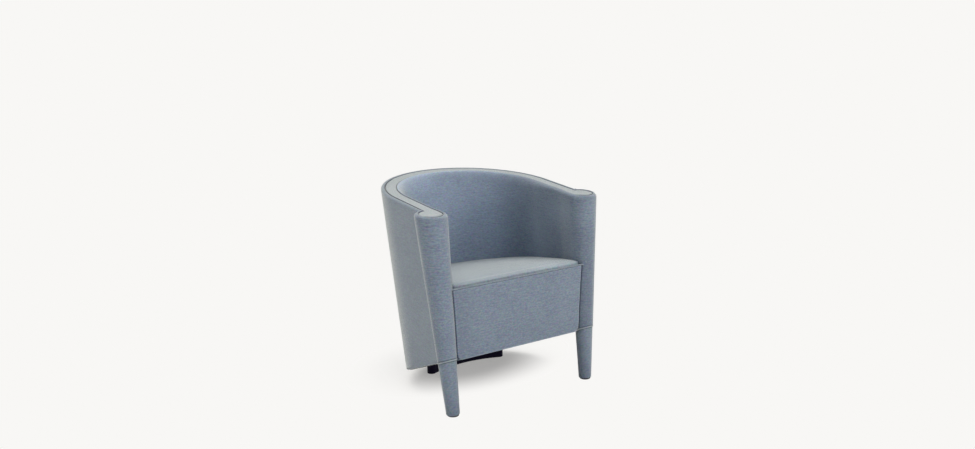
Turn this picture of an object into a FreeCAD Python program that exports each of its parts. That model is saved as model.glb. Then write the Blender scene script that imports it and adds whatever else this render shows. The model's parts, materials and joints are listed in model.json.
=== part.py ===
import FreeCAD, Part
import math
import os
import Sketcher
from FreeCAD import Placement, Rotation, Vector

# Small upholstered tub armchair, built as the real one is.
# Two raking, tapered front columns are arm ends and front legs in one. A bent plywood
# shell runs round from one to the other, padded inside and out and covered in cloth.
# A sprung seat lies inside it, and a low curved plinth carries the back.
#
# Frame: X runs across the chair, +Y to its back, +Z up, all in millimetres.
# The origin lies on the floor, under the middle of the chair's box.
# Left is -X and right is +X.

doc = FreeCAD.newDocument("tub_armchair")
sheet = doc.addObject("Spreadsheet::Sheet", "Sizes")

DRIVING = [
    ("overall_depth", 630, "front of the feet to the back of the rim"),
    ("arm_height", 661, "floor to the rim over the columns"),
    ("back_height", 702, "floor to the rim at the middle of the back"),
    ("column_inset", 19, "middle of a column head inside the outer face"),
    ("column_splay", 25, "a head stands this far out from its foot"),
    ("column_rake", 63, "a head stands this far behind its foot"),
    ("foot_radius", 21, "covered leg at the floor"),
    ("ring_height", 182, "floor to the welt ring between leg and column"),
    ("ring_radius", 30.4, "covered column at the ring"),
    ("head_radius", 51.8, "covered column at the rim"),
    ("sleeve_step", 0.9, "leg sleeve inside the column cover at the ring"),
    ("ring_welt_radius", 1.9, "cord in the ring welt"),
    ("post_foot_radius", 18, "turned post at the floor"),
    ("post_head_radius", 32, "turned post at the rim"),
    ("glide_height", 4, "glide under a post"),
    ("glide_lip", 1.5, "glide rim inside the leg sleeve"),
    ("glide_edge", 1, "bevel round the foot of a glide"),
    ("glide_pin_radius", 3, "pin of a glide"),
    ("glide_pin_length", 18, "pin of a glide in its post"),
    ("column_welt_radius", 2.5, "cord down the outer rear edge of a column"),
    ("outer_half_rim", 319, "outer face at the height of the back rim"),
    ("outer_flare", 29, "outer face wider at the rim than at the floor"),
    ("outer_lean", 88, "outer arc moves forward by this from rim to floor"),
    ("wall_at_rim", 66, "outer face to inner face at the height of the back rim"),
    ("inner_flare", 12, "inner face narrower at the rim than at the floor"),
    ("inner_lean", 134, "inner arc moves forward by this from rim to floor"),
    ("tail_height", 42, "bottom edge of the shell at the back"),
    ("tail_length", 265, "level part of the bottom edge, back to the line of the back rim"),
    ("cloth", 1.5, "cover cloth with its lining"),
    ("wadding", 6, "wadding on the outside of the shell"),
    ("hem_turn", 5, "wadding ends this far above the bottom edge"),
    ("shell_ply", 10, "bent plywood shell"),
    ("outer_roll", 15.5, "rolled edge outside the facing"),
    ("inner_roll", 11.5, "rolled edge inside the facing"),
    ("roll_depth", 14, "height of the rolled edges"),
    ("outer_round", 7, "round of the outer rolled edge and of the head rolls"),
    ("inner_round", 9, "round of the inner rolled edge"),
    ("facing_depth", 5, "facing strip with its lining"),
    ("head_roll", 13, "rolled edge round a column head"),
    ("facing_sink", 0.8, "facing below the top of the rolled edges"),
    ("rim_rail_thick", 34, "thickness of the bent rail under the facing"),
    ("rim_rail_depth", 40, "height of the bent rail under the facing"),
    ("seat_front", 422, "top of the seat at its front edge"),
    ("seat_back", 361, "top of the seat where it meets the back"),
    ("seat_ends", 158, "depth of the chair beyond the two ends of the seat"),
    ("seat_bulge", 22, "rise of the seat over a straight line, front to back"),
    ("seat_crown", 6, "rise of the seat, side to side"),
    ("deck_height", 300, "top of the seat rails"),
    ("seat_rail_depth", 50, "height of the bent seat rail"),
    ("seat_rail_thick", 28, "thickness of the bent seat rail"),
    ("front_rail_thick", 25, "thickness of the front rail"),
    ("panel_setback", 26, "front panel behind the front of the feet"),
    ("panel_bottom", 179, "floor to the lower edge of the front panel"),
    ("panel_tuck", 9, "side edge of the front panel inside the line of a foot"),
    ("panel_corner", 26, "round of the lower corners of the front panel"),
    ("panel_pad", 5.5, "pad under the front panel"),
    ("piping_radius", 3.5, "piping along the front edge of the seat"),
    ("cord_gap", 0.3, "cords clear of what they lie against"),
    ("seat_gap", 0.4, "seat cushion clear of the inner cover"),
    ("column_gap", 0.4, "seat pieces clear of the columns"),
    ("web_width", 50, "webbing strap"),
    ("web_thick", 2.4, "webbing strap"),
    ("web_pitch", 82, "from one strap to the next"),
    ("web_first", 53, "front rail to the middle of the first cross strap"),
    ("web_bearing", 20, "a strap's bearing on a rail"),
    ("lower_rail_thick", 22, "bent rail along the bottom edge"),
    ("lower_rail_depth", 36, "bent rail along the bottom edge"),
    ("base_board", 18, "board over the plinth"),
    ("base_board_lead", 28, "that board reaches this far before the level part of the bottom"),
    ("dust_cloth", 1.0, "cloth under the seat"),
    ("plinth_arc", 350, "radius of the hollow front of the plinth"),
    ("plinth_thick", 32, "plinth, front to back"),
    ("plinth_half_span", 146, "centre plane to the round end of the plinth"),
    ("plinth_inset", 34, "front of the plinth behind the start of the level part"),
    ("plinth_glide", 2, "felt glides under the plinth"),
    ("plinth_glide_radius", 11, "felt glides under the plinth"),
    ("block_leg", 60, "corner block, along each rail"),
    ("dowel_radius", 5, "dowels between front rail and posts"),
    ("dowel_length", 44, "dowels between front rail and posts"),
    ("dowel_height", 242, "floor to midway between two dowels"),
    ("dowel_pitch", 56, "from one dowel to the next"),
    ("screw_radius", 2.5, "plinth screws"),
    ("screw_head_radius", 5, "plinth screws"),
    ("screw_length", 45, "plinth screws"),
    ("screw_angle", 17, "from one plinth screw to the next, in degrees"),
]

DERIVED = [
    ("head_half_gap", "=outer_half_rim - column_inset", "centre plane to the middle of a column head"),
    ("foot_half_gap", "=head_half_gap - column_splay", "centre plane to the middle of a foot"),
    ("outer_half_floor", "=outer_half_rim - outer_flare", "outer face carried down to the floor"),
    ("inner_half_rim", "=outer_half_rim - wall_at_rim", "inner face at the height of the back rim"),
    ("inner_half_floor", "=inner_half_rim + inner_flare", "inner face carried down to the floor"),
    ("tail_start", "=overall_depth / 2 - tail_length", "y at which the bottom edge turns level"),
    ("foot_line", "=-overall_depth / 2 + foot_radius", "y of a foot's middle"),
    ("head_line", "=foot_line + column_rake", "y of a head's middle"),
    ("column_length", "=sqrt(column_splay ^ 2 + column_rake ^ 2 + arm_height ^ 2)", "foot to head"),
    ("axis_stretch", "=column_length / arm_height", "length along a column for each unit of height"),
    ("ring_line", "=foot_line + column_rake * ring_height / arm_height", "y of the ring"),
    ("rim_arc_line", "=overall_depth / 2 - outer_half_rim", "y of the arcs' centre at the rim"),
    ("rim_slope", "=(back_height - arm_height) / (overall_depth / 2 - head_line)", "rise of the rim"),
    ("tail_slope", "=(ring_height - tail_height) / (tail_start - ring_line)", "fall of the bottom edge"),
    ("column_flare", "=(head_radius - ring_radius) / (arm_height - ring_height)", "widening upwards"),
    ("ply_face", "=cloth + wadding + shell_ply", "outer face to the inside of the plywood"),
    ("ring_top", "=ring_height + ring_welt_radius", "lower edge of the column covers"),
    ("panel_line", "=-overall_depth / 2 + panel_setback", "y of the front panel"),
    ("rail_line", "=panel_line + cloth + panel_pad", "y of the front rail's face"),
    ("panel_half", "=foot_half_gap - panel_tuck", "front panel, centre plane to its edge"),
    ("web_line", "=rail_line + front_rail_thick + web_first", "y of the middle of that strap"),
    ("foam_floor", "=deck_height + 2 * web_thick", "underside of the seat foam"),
    ("seat_drop", "=seat_front - seat_back", "fall of the seat, front to back"),
    ("seat_run", "=overall_depth - seat_ends", "from the front edge of the seat to the back"),
    ("seat_chord", "=sqrt(seat_run ^ 2 + seat_drop ^ 2)", "straight line, front to back"),
    ("seat_arc", "=(seat_chord ^ 2 / 4 + seat_bulge ^ 2) / (2 * seat_bulge)", "radius of that arch"),
    ("seat_cross_arc", "=(inner_half_floor ^ 2 + seat_crown ^ 2) / (2 * seat_crown)", "side to side"),
    ("seat_arc_below", "=seat_arc - seat_bulge", "centre of that arch to the straight line"),
    ("seat_middle", "=(seat_front + seat_back) / 2", "height of the middle of the straight line"),
    ("seat_tilt", "=seat_drop / seat_chord", "sine of the fall of the straight line"),
    ("seat_arc_line", "=rail_line + seat_run / 2 - seat_tilt * seat_arc_below", "its centre, y"),
    ("seat_arc_level", "=seat_middle - seat_run / seat_chord * seat_arc_below", "its centre, z"),
    ("plinth_mid_arc", "=plinth_arc + plinth_thick / 2", "radius of the middle line of the plinth"),
    ("plinth_turn", "=asin(plinth_half_span / plinth_mid_arc) / 1 deg", "half the plinth's angle"),
    ("base_board_front", "=tail_start - base_board_lead", "y of the front edge of the board"),
    ("plinth_reach", "=tail_start + plinth_inset", "y of the middle of the plinth's front"),
    ("plinth_line", "=plinth_reach - plinth_arc", "y of the middle of the plinth's arc"),
    ("loft_top", "=back_height + roll_depth", "height at which skins end before the rim is cut"),
    ("far", "=overall_depth", "a length that reaches past the chair"),
]

parts = {}


def shared(maker):
    """A tool made once for each set of sizes and used wherever it is called for."""
    made = {}

    def once(*sizes):
        if sizes not in made:
            made[sizes] = maker(*sizes)
        return made[sizes]

    return once


def fill_sheet():
    """One row for each size: its name, its value and what it is."""
    row = 1
    for name, number, words in DRIVING + DERIVED:
        sheet.set("A%d" % row, words)
        sheet.set("B%d" % row, str(number))
        sheet.setAlias("B%d" % row, name)
        row = row + 1
    doc.recompute()


def size(text):
    """The present value of an expression in the sheet's names."""
    return float(sheet.evalExpression(in_sheet(text)))


def in_sheet(text):
    """The same expression with each size written as a cell of the sheet."""
    words = []
    word = ""
    for letter in str(text) + " ":
        if letter.isalnum() or letter in "_.":
            word = word + letter
        else:
            words.append("Sizes." + word if word in NAMES else word)
            words.append(letter)
            word = ""
    return "".join(words).strip()


NAMES = {row[0] for row in DRIVING + DERIVED}
fill_sheet()


def bind(thing, **expressions):
    """Tie properties to expressions; a double underscore in a name stands for a dot."""
    for name, text in expressions.items():
        thing.setExpression(name.replace("__", "."), in_sheet(text))


def keep(name, thing):
    """Record a finished sub-part under the name of its node."""
    thing.Label = name
    parts[name] = thing
    return thing


def cut(base, *tools):
    for tool in tools:
        piece = doc.addObject("Part::Cut", "Cut")
        piece.Base = base
        piece.Tool = tool
        base = piece
    return base


def common(*things):
    piece = doc.addObject("Part::MultiCommon", "Common")
    piece.Shapes = list(things)
    return piece


def fuse(*things):
    piece = doc.addObject("Part::MultiFuse", "Fuse")
    piece.Shapes = list(things)
    return piece


def group(*things):
    """Separate solids that share one node."""
    piece = doc.addObject("Part::Compound", "Group")
    piece.Links = list(things)
    return piece


def sketch_on(body, role, level="0"):
    """A sketch on an origin plane of the body, raised by level along its normal."""
    sketch = body.newObject("Sketcher::SketchObject", "Sketch")
    planes = [item for item in body.Origin.OriginFeatures if item.Role == role]
    sketch.AttachmentSupport = (planes[0], "")
    sketch.MapMode = "FlatFace"
    sketch.AttachmentOffset = Placement(Vector(0, 0, size(level)), Rotation())
    bind(sketch, AttachmentOffset__Base__z=level)
    return sketch


def dimension(sketch, kind, text, *where):
    """A driving dimension of the sketch, tied to an expression."""
    index = sketch.addConstraint(Sketcher.Constraint(kind, *where, size(text)))
    sketch.setExpression("Constraints[%d]" % index, in_sheet(text))


def chain(sketch, count):
    """Each edge starts where the one before it ends, and the last meets the first."""
    for edge in range(count):
        sketch.addConstraint(Sketcher.Constraint("Coincident", edge, 2, (edge + 1) % count, 1))


def polygon(sketch, corners):
    """A closed outline of straight edges through corners given as expressions."""
    points = [Vector(size(across), size(up), 0) for across, up in corners]
    for start, end in zip(points, points[1:] + points[:1]):
        sketch.addGeometry(Part.LineSegment(start, end), False)
    chain(sketch, len(corners))
    for edge, (across, up) in enumerate(corners):
        dimension(sketch, "DistanceX", across, edge, 1)
        dimension(sketch, "DistanceY", up, edge, 1)


def side_prism(name, corners, width="2 * far"):
    """A prism across the chair, from an outline in the plane of Y and Z."""
    body = doc.addObject("PartDesign::Body", name)
    sketch = sketch_on(body, "YZ_Plane")
    polygon(sketch, corners)
    pad = body.newObject("PartDesign::Pad", "Pad")
    pad.Profile = sketch
    pad.SideType = "Symmetric"
    bind(pad, Length=width)
    return body


def rim(across, below):
    """Height of the rim line at a given y, lowered by an amount."""
    return "arm_height + rim_slope * (%s - head_line) - (%s)" % (across, below)


def hem(across, above):
    """Height of the sloping bottom edge at a given y, raised by an amount."""
    return "tail_height + tail_slope * (tail_start - %s) + (%s)" % (across, above)


@shared
def over_rim(below):
    """All that lies above the rim line, lowered by an amount."""
    return side_prism("over_rim", [
        ("-far", rim("(-far)", below)),
        ("far", rim("far", below)),
        ("far", "3 * far"),
        ("-far", "3 * far"),
    ])


@shared
def under_hem(above):
    """All that lies below the bottom edge, raised by an amount."""
    return side_prism("under_hem", [
        ("-far", hem("(-far)", above)),
        ("tail_start", "tail_height + (%s)" % above),
        ("far", "tail_height + (%s)" % above),
        ("far", "-far"),
        ("-far", "-far"),
    ])


@shared
def slab(low, high):
    """All that lies between two heights."""
    return side_prism("slab", [("-far", low), ("far", low), ("far", high), ("-far", high)])


def face(kind, offset):
    """Half width and arc centre of a face of the shell, at the floor and over the rim.

    The offset is counted from the outer face inwards, or from the inner face outwards.
    """
    sign = "-" if kind == "outer" else "+"
    half_floor = "%s_half_floor" % kind
    half_top = "%s + (%s_half_rim - %s) * loft_top / back_height" % (half_floor, kind, half_floor)
    centre_floor = "rim_arc_line - %s_lean" % kind
    centre_top = "%s + %s_lean * loft_top / back_height" % (centre_floor, kind)
    return {
        "floor": ("%s %s (%s)" % (half_floor, sign, offset), centre_floor),
        "top": ("%s %s (%s)" % (half_top, sign, offset), centre_top),
    }


LEVELS = {
    "floor": ("0", "foot_line"),
    "top": ("loft_top", "foot_line + column_rake * loft_top / arm_height"),
}


def arc(middle, radius, start, end):
    circle = Part.Circle(middle, Vector(0, 0, 1), radius)
    return Part.ArcOfCircle(circle, math.radians(start), math.radians(end))


def add_arch(sketch, half, centre, front):
    """Left leg, left quarter arc, right quarter arc, right leg; returns the first edge."""
    reach = size(half)
    middle = Vector(0, size(centre), 0)
    start = size(front)
    left = sketch.GeometryCount
    sketch.addGeometry(Part.LineSegment(Vector(-reach, start, 0), Vector(-reach, middle.y, 0)), False)
    sketch.addGeometry(arc(middle, reach, 90, 180), False)
    sketch.addGeometry(arc(middle, reach, 0, 90), False)
    sketch.addGeometry(Part.LineSegment(Vector(reach, middle.y, 0), Vector(reach, start, 0)), False)
    left_arc, right_arc, right = left + 1, left + 2, left + 3
    for rule in (
        ("Coincident", left, 2, left_arc, 2),
        ("Coincident", left_arc, 1, right_arc, 2),
        ("Coincident", right_arc, 1, right, 1),
        ("Coincident", left_arc, 3, right_arc, 3),
        ("PointOnObject", left_arc, 1, -2),
        ("PointOnObject", left_arc, 3, -2),
        ("Vertical", left),
        ("Vertical", right),
        ("Horizontal", left_arc, 3, left_arc, 2),
        ("Horizontal", right_arc, 3, right_arc, 1),
        ("Horizontal", left, 1, right, 2),
    ):
        sketch.addConstraint(Sketcher.Constraint(*rule))
    dimension(sketch, "Radius", half, left_arc)
    dimension(sketch, "DistanceY", centre, left_arc, 3)
    dimension(sketch, "DistanceY", front, left, 1)
    return left


def join_ends(sketch, edge_a, end_a, edge_b, end_b):
    """A straight edge from one open end of the outline to another."""
    start = sketch.getPoint(edge_a, end_a)
    end = sketch.getPoint(edge_b, end_b)
    cap = sketch.addGeometry(Part.LineSegment(start, end), False)
    sketch.addConstraint(Sketcher.Constraint("Coincident", edge_a, end_a, cap, 1))
    sketch.addConstraint(Sketcher.Constraint("Coincident", edge_b, end_b, cap, 2))


def arch_loft(name, outer, inner=None, front=None):
    """Straight-lined skin from floor to rim: a wall between two faces, or all inside one."""
    body = doc.addObject("PartDesign::Body", name)
    sections = []
    for place in ("floor", "top"):
        level, axis_line = LEVELS[place]
        start = front or axis_line
        sketch = sketch_on(body, "XY_Plane", level)
        first = add_arch(sketch, *outer[place], start)
        if inner:
            second = add_arch(sketch, *inner[place], start)
            join_ends(sketch, first, 1, second, 1)
            join_ends(sketch, first + 3, 2, second + 3, 2)
        else:
            join_ends(sketch, first, 1, first + 3, 2)
        sections.append(sketch)
    loft = body.newObject("PartDesign::AdditiveLoft", "Loft")
    loft.Profile = sections[0]
    loft.Sections = sections[1:]
    loft.Ruled = True
    return body


def column(side, low, high, low_radius, high_radius, name="column"):
    """A taper on one column's raking axis, square to it, from one height to another."""
    cone = doc.addObject("Part::Cone", name)
    bind(cone, Radius1=low_radius, Radius2=high_radius)
    bind(cone, Height="(%s - (%s)) * axis_stretch" % (high, low))
    cone.Placement = column_place(side, low)
    return cone


def column_place(side, level):
    """Where a piece that was made upright at the origin stands on a column's axis."""
    lean = Vector(side * size("column_splay"), size("column_rake"), size("arm_height"))
    place = Vector(side * size(axis_out(level)), size(axis_line(level)), size(level))
    return Placement(place, Rotation(Vector(0, 0, 1), lean))


def axis_out(level):
    """Half distance between the two column axes at a height."""
    return "foot_half_gap + column_splay * (%s) / arm_height" % level


def axis_line(level):
    """y of a column axis at a height."""
    return "foot_line + column_rake * (%s) / arm_height" % level


def column_radius(level, inside="0"):
    """Covered radius of a column above its ring, less an amount."""
    return "ring_radius + column_flare * (%s - ring_height) - (%s)" % (level, inside)


def post_radius(level, outside="0"):
    """Radius of the turned post, plus an amount."""
    taper = "(post_head_radius - post_foot_radius) * (%s) / arm_height" % level
    return "post_foot_radius + %s + (%s)" % (taper, outside)


@shared
def column_skin(side, inside, low="ring_top"):
    """The covered column above its ring up past the rim, less an amount all round."""
    return column(side, low, "loft_top", column_radius(low, inside), column_radius("loft_top", inside))


@shared
def post_skin(side, outside="0"):
    """The turned post from under the floor line up past the rim."""
    low = "-glide_height"
    return column(side, low, "loft_top", post_radius(low, outside), post_radius("loft_top", outside))


def both(maker, *sizes):
    """The same tool on the left column and on the right one."""
    return [maker(side, *sizes) for side in (-1, 1)]


SIDES = (("left", -1), ("right", 1))


def rod(name, start, end, radius):
    """A round bar between two points given as expressions."""
    bar = doc.addObject("Part::Cylinder", name)
    foot = Vector(*[size(item) for item in start])
    head = Vector(*[size(item) for item in end])
    run = head - foot
    bind(bar, Radius=radius)
    squares = ["(%s - (%s)) ^ 2" % (b, a) for a, b in zip(start, end)]
    bind(bar, Height="sqrt(%s)" % " + ".join(squares))
    bar.Placement = Placement(foot, Rotation(Vector(0, 0, 1), run))
    return bar


def box(name, low, high):
    """A block between two corners given as expressions."""
    block = doc.addObject("Part::Box", name)
    bind(block, Placement__Base__x=low[0], Placement__Base__y=low[1], Placement__Base__z=low[2])
    bind(block, Length="%s - (%s)" % (high[0], low[0]))
    bind(block, Width="%s - (%s)" % (high[1], low[1]))
    bind(block, Height="%s - (%s)" % (high[2], low[2]))
    return block


@shared
def under_rim(below):
    """All that lies below the rim line, lowered by an amount."""
    return side_prism("under_rim", [
        ("-far", rim("(-far)", below)),
        ("-far", "-far"),
        ("far", "-far"),
        ("far", rim("far", below)),
    ])


@shared
def over_hem(above):
    """All that lies above the bottom edge, raised by an amount."""
    return side_prism("over_hem", [
        ("-far", hem("(-far)", above)),
        ("-far", "3 * far"),
        ("far", "3 * far"),
        ("far", "tail_height + (%s)" % above),
        ("tail_start", "tail_height + (%s)" % above),
    ])


def make_shell(posts, columns):
    """The layers of the wall from the outside in, each from the hem up to the rim.

    Plywood and rail run on to the posts; what is soft stops at the column covers.
    """
    roll_floor = over_rim("roll_depth")
    wood_hem = under_hem("dust_cloth")
    seat_level = slab("-far", "foam_floor")
    outside = arch_loft("outside", face("outer", "0"), face("outer", "cloth"))
    keep("outside_cover", cut(outside, roll_floor, under_hem("0"), *columns))
    padding = arch_loft("padding", face("outer", "cloth"), face("outer", "cloth + wadding"))
    keep("outer_wadding", cut(padding, roll_floor, under_hem("hem_turn"), *columns))
    plywood = arch_loft("plywood", face("outer", "cloth + wadding"), face("outer", "ply_face"))
    plywood = cut(plywood, roll_floor, wood_hem)
    keep("plywood_shell", cut(plywood, *posts))

    rail = arch_loft("rail", face("outer", "ply_face"), face("outer", "ply_face + rim_rail_thick"))
    rail_floor = under_rim("facing_depth + rim_rail_depth")
    rail = cut(rail, over_rim("facing_depth"), rail_floor)
    keep("rim_rail", cut(rail, *posts))
    foam = arch_loft("foam", face("outer", "ply_face"), face("inner", "cloth"))
    keep("inner_foam", cut(foam, roll_floor, seat_level, parts["rim_rail"], *columns))
    inside = arch_loft("inside", face("inner", "cloth"), face("inner", "0"))
    keep("inside_cover", cut(inside, roll_floor, seat_level, *columns))
    return [plywood, rail]


def on_face(point, kind):
    """Whether a point lies within a millimetre of a face of the shell."""
    rise = point.z / size("back_height")
    half = size("%s_half_floor" % kind) + rise * size("%s_half_rim - %s_half_floor" % (kind, kind))
    behind = point.y - size("rim_arc_line") + (1 - rise) * size("%s_lean" % kind)
    return abs(math.hypot(point.x, max(behind, 0)) - half) < 1


def on_column(point, side):
    """Whether a point lies within a millimetre of a column's covered side."""
    out = point.x - side * size(axis_out(point.z))
    along = point.y - size(axis_line(point.z))
    return abs(math.hypot(out, along) - size(column_radius(point.z))) < 1


def at_rim(edge):
    """Whether an edge lies in the plane of the rim, and is no mere scrap."""
    ends = [edge.Vertexes[0].Point, edge.Vertexes[-1].Point]
    rises = [abs(end.z - size(rim(str(end.y), "0"))) for end in ends]
    return max(rises) < 0.1 and edge.Length > 5


def round_over(thing, radius, picked):
    """Round the edges at the rim that a test picks by their middle points."""
    doc.recompute()
    edges = []
    for number, edge in enumerate(thing.Shape.Edges, 1):
        middle = edge.valueAt((edge.FirstParameter + edge.LastParameter) / 2)
        if at_rim(edge) and picked(middle):
            edges.append((number, size(radius), size(radius)))
    fillet = doc.addObject("Part::Fillet", "Fillet")
    fillet.Base = thing
    fillet.Edges = edges
    return fillet


def make_rim(columns):
    """The flat facing with a round head over each column, and the rolled edges about it."""
    heads = both(column_skin, "head_roll")
    facing_floor = under_rim("facing_depth")
    facing_top = over_rim("facing_sink")
    strip = arch_loft("strip", face("outer", "outer_roll"), face("inner", "inner_roll"))
    strip_layer = cut(strip, facing_top, facing_floor)
    head_layers = [cut(head, facing_top, facing_floor) for head in heads]
    keep("rim_facing", fuse(strip_layer, *head_layers))
    roll_floor = under_rim("roll_depth")
    outer = arch_loft("outer", face("outer", "0"), face("outer", "outer_roll"))
    outer = cut(outer, over_rim("0"), roll_floor, *columns)
    keep("outer_rim_roll", round_over(outer, "outer_round", lambda point: on_face(point, "outer")))
    inner = arch_loft("inner", face("inner", "inner_roll"), face("inner", "0"))
    inner = cut(inner, over_rim("0"), roll_floor, *columns)
    keep("inner_rim_roll", round_over(inner, "inner_round", lambda point: on_face(point, "inner")))
    for (name, side), skin, head in zip(SIDES, columns, heads):
        layer = cut(skin, over_rim("0"), roll_floor, head, strip)
        layer = round_over(layer, "outer_round", lambda point: on_column(point, side))
        keep(name + "_head_roll", layer)


def dowel_rods(side):
    """Two dowels, one above the other, half in the front rail and half in a post."""
    rods = []
    for half in (-0.5, 0.5):
        level = "(dowel_height + %s * dowel_pitch)" % half
        meet = "(%s - (%s))" % (axis_out(level), post_radius(level))
        across = "rail_line + front_rail_thick / 2"
        start = ("%d * (%s - dowel_length / 2)" % (side, meet), across, level)
        end = ("%d * (%s + dowel_length / 2)" % (side, meet), across, level)
        rods.append(rod("dowel", start, end, "dowel_radius"))
    return rods


def make_frame(posts):
    """Front rail, bent seat rail and lower rail, the board over the plinth, and blocks."""
    dowels = dowel_rods(-1) + dowel_rods(1)
    keep("rail_dowels", group(*dowels))
    bar = box(
        "bar",
        ("-foot_half_gap", "rail_line", "panel_bottom"),
        ("foot_half_gap", "rail_line + front_rail_thick", "deck_height"),
    )
    wood_hem = under_hem("dust_cloth")
    keep("front_rail", cut(bar, wood_hem, *posts, *dowels))

    bent = arch_loft("bent", face("outer", "ply_face"), face("outer", "ply_face + seat_rail_thick"))
    ends = [bar] + posts
    low_slab = slab("-far", "deck_height - seat_rail_depth")
    bent = cut(bent, low_slab, slab("deck_height", "3 * far"))
    keep("seat_rail", cut(bent, *ends))
    lower = arch_loft("lower", face("outer", "ply_face"), face("outer", "ply_face + lower_rail_thick"))
    lower = cut(lower, wood_hem, over_hem("dust_cloth + lower_rail_depth"))
    keep("lower_rail", cut(lower, *ends))

    inside_rail = face("outer", "ply_face + lower_rail_thick")
    board = arch_loft("board", inside_rail)
    board_top = slab("tail_height + dust_cloth + base_board", "3 * far")
    before_board = box("before_board", ("-far", "-far", "-far"), ("far", "base_board_front", "far"))
    return cut(board, board_top, wood_hem, before_board), [bar, bent, lower]


def make_corner_blocks(columns):
    """A three-cornered block in each angle between front rail and seat rail."""
    blocks = []
    for side in (-1, 1):
        body = doc.addObject("PartDesign::Body", "block")
        sketch = sketch_on(body, "XY_Plane", "deck_height - seat_rail_depth")
        rail_back = "rail_line + front_rail_thick"
        reach = "(outer_half_floor - ply_face - seat_rail_thick)"
        polygon(sketch, [
            ("%d * (%s + seat_rail_thick)" % (side, reach), rail_back),
            ("%d * (%s + seat_rail_thick)" % (side, reach), rail_back + " + block_leg"),
            ("%d * %s" % (side, reach), rail_back + " + block_leg"),
            ("%d * (%s - block_leg)" % (side, reach), rail_back),
        ])
        pad = body.newObject("PartDesign::Pad", "Pad")
        pad.Profile = sketch
        bind(pad, Length="seat_rail_depth")
        blocks.append(cut(body, parts["seat_rail"], *columns))
    keep("corner_blocks", group(*blocks))


def make_columns(timber):
    """Each column from the floor up: glide, post, leg sleeve, ring, pad, cover and welt."""
    roll_floor = over_rim("roll_depth")
    post_top = over_rim("facing_depth")
    post_foot = slab("-far", "glide_height")
    for name, side in SIDES:
        glide = make_glide(side)
        keep(name + "_glide", glide)
        post = post_skin(side)
        keep(name + "_post", cut(post, post_top, post_foot, glide, *dowel_rods(side)))
        sleeve_top = "ring_height - ring_welt_radius"
        sleeve = column(side, "0", sleeve_top, "foot_radius", "ring_radius - sleeve_step")
        keep(name + "_leg_sleeve", cut(sleeve, post_foot, post))
        keep(name + "_ring_welt", cut(make_ring(side), *timber))
        under_cover = column_skin(side, "cloth")
        keep(name + "_column_pad", cut(under_cover, post, roll_floor, *timber))
        cover = cut(column_skin(side, "0"), under_cover)
        keep(name + "_column_cover", cut(cover, roll_floor, *timber))
        start = welt_point(side, "ring_top")
        end = welt_point(side, "(arm_height - roll_depth)")
        keep(name + "_column_welt", rod("welt", start, end, "column_welt_radius"))


def make_glide(side):
    """A bevelled disc under the post, with a pin up into it."""
    body = doc.addObject("PartDesign::Body", "glide")
    sketch = sketch_on(body, "XZ_Plane")
    polygon(sketch, [
        ("0", "0"),
        ("foot_radius - glide_lip - glide_edge", "0"),
        ("foot_radius - glide_lip", "glide_edge"),
        ("foot_radius - glide_lip", "glide_height"),
        ("glide_pin_radius", "glide_height"),
        ("glide_pin_radius", "glide_height + glide_pin_length"),
        ("0", "glide_height + glide_pin_length"),
    ])
    turn = body.newObject("PartDesign::Revolution", "Revolution")
    turn.Profile = sketch
    turn.ReferenceAxis = (sketch, ["V_Axis"])
    turn.Angle = 360
    bind(body, Placement__Base__x="%d * foot_half_gap" % side, Placement__Base__y="foot_line")
    return body


def make_ring(side):
    """The cord that closes the joint between leg sleeve and column cover."""
    ring = doc.addObject("Part::Torus", "ring")
    bind(ring, Radius1="ring_radius - ring_welt_radius / 2", Radius2="ring_welt_radius")
    ring.Placement = column_place(side, "ring_height")
    return ring


def welt_point(side, level):
    """Where a cord lies in the angle between the outer face and a column, at a height."""
    widening = "(outer_half_rim - outer_half_floor) * %s / back_height" % level
    out = "(outer_half_floor + %s + column_welt_radius + cord_gap)" % widening
    away = "(%s + column_welt_radius + cord_gap)" % column_radius(level)
    aside = "(%s - (%s))" % (out, axis_out(level))
    behind = "%s + sqrt(%s ^ 2 - %s ^ 2)" % (axis_line(level), away, aside)
    return ("%d * %s" % (side, out), behind, level)


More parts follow.
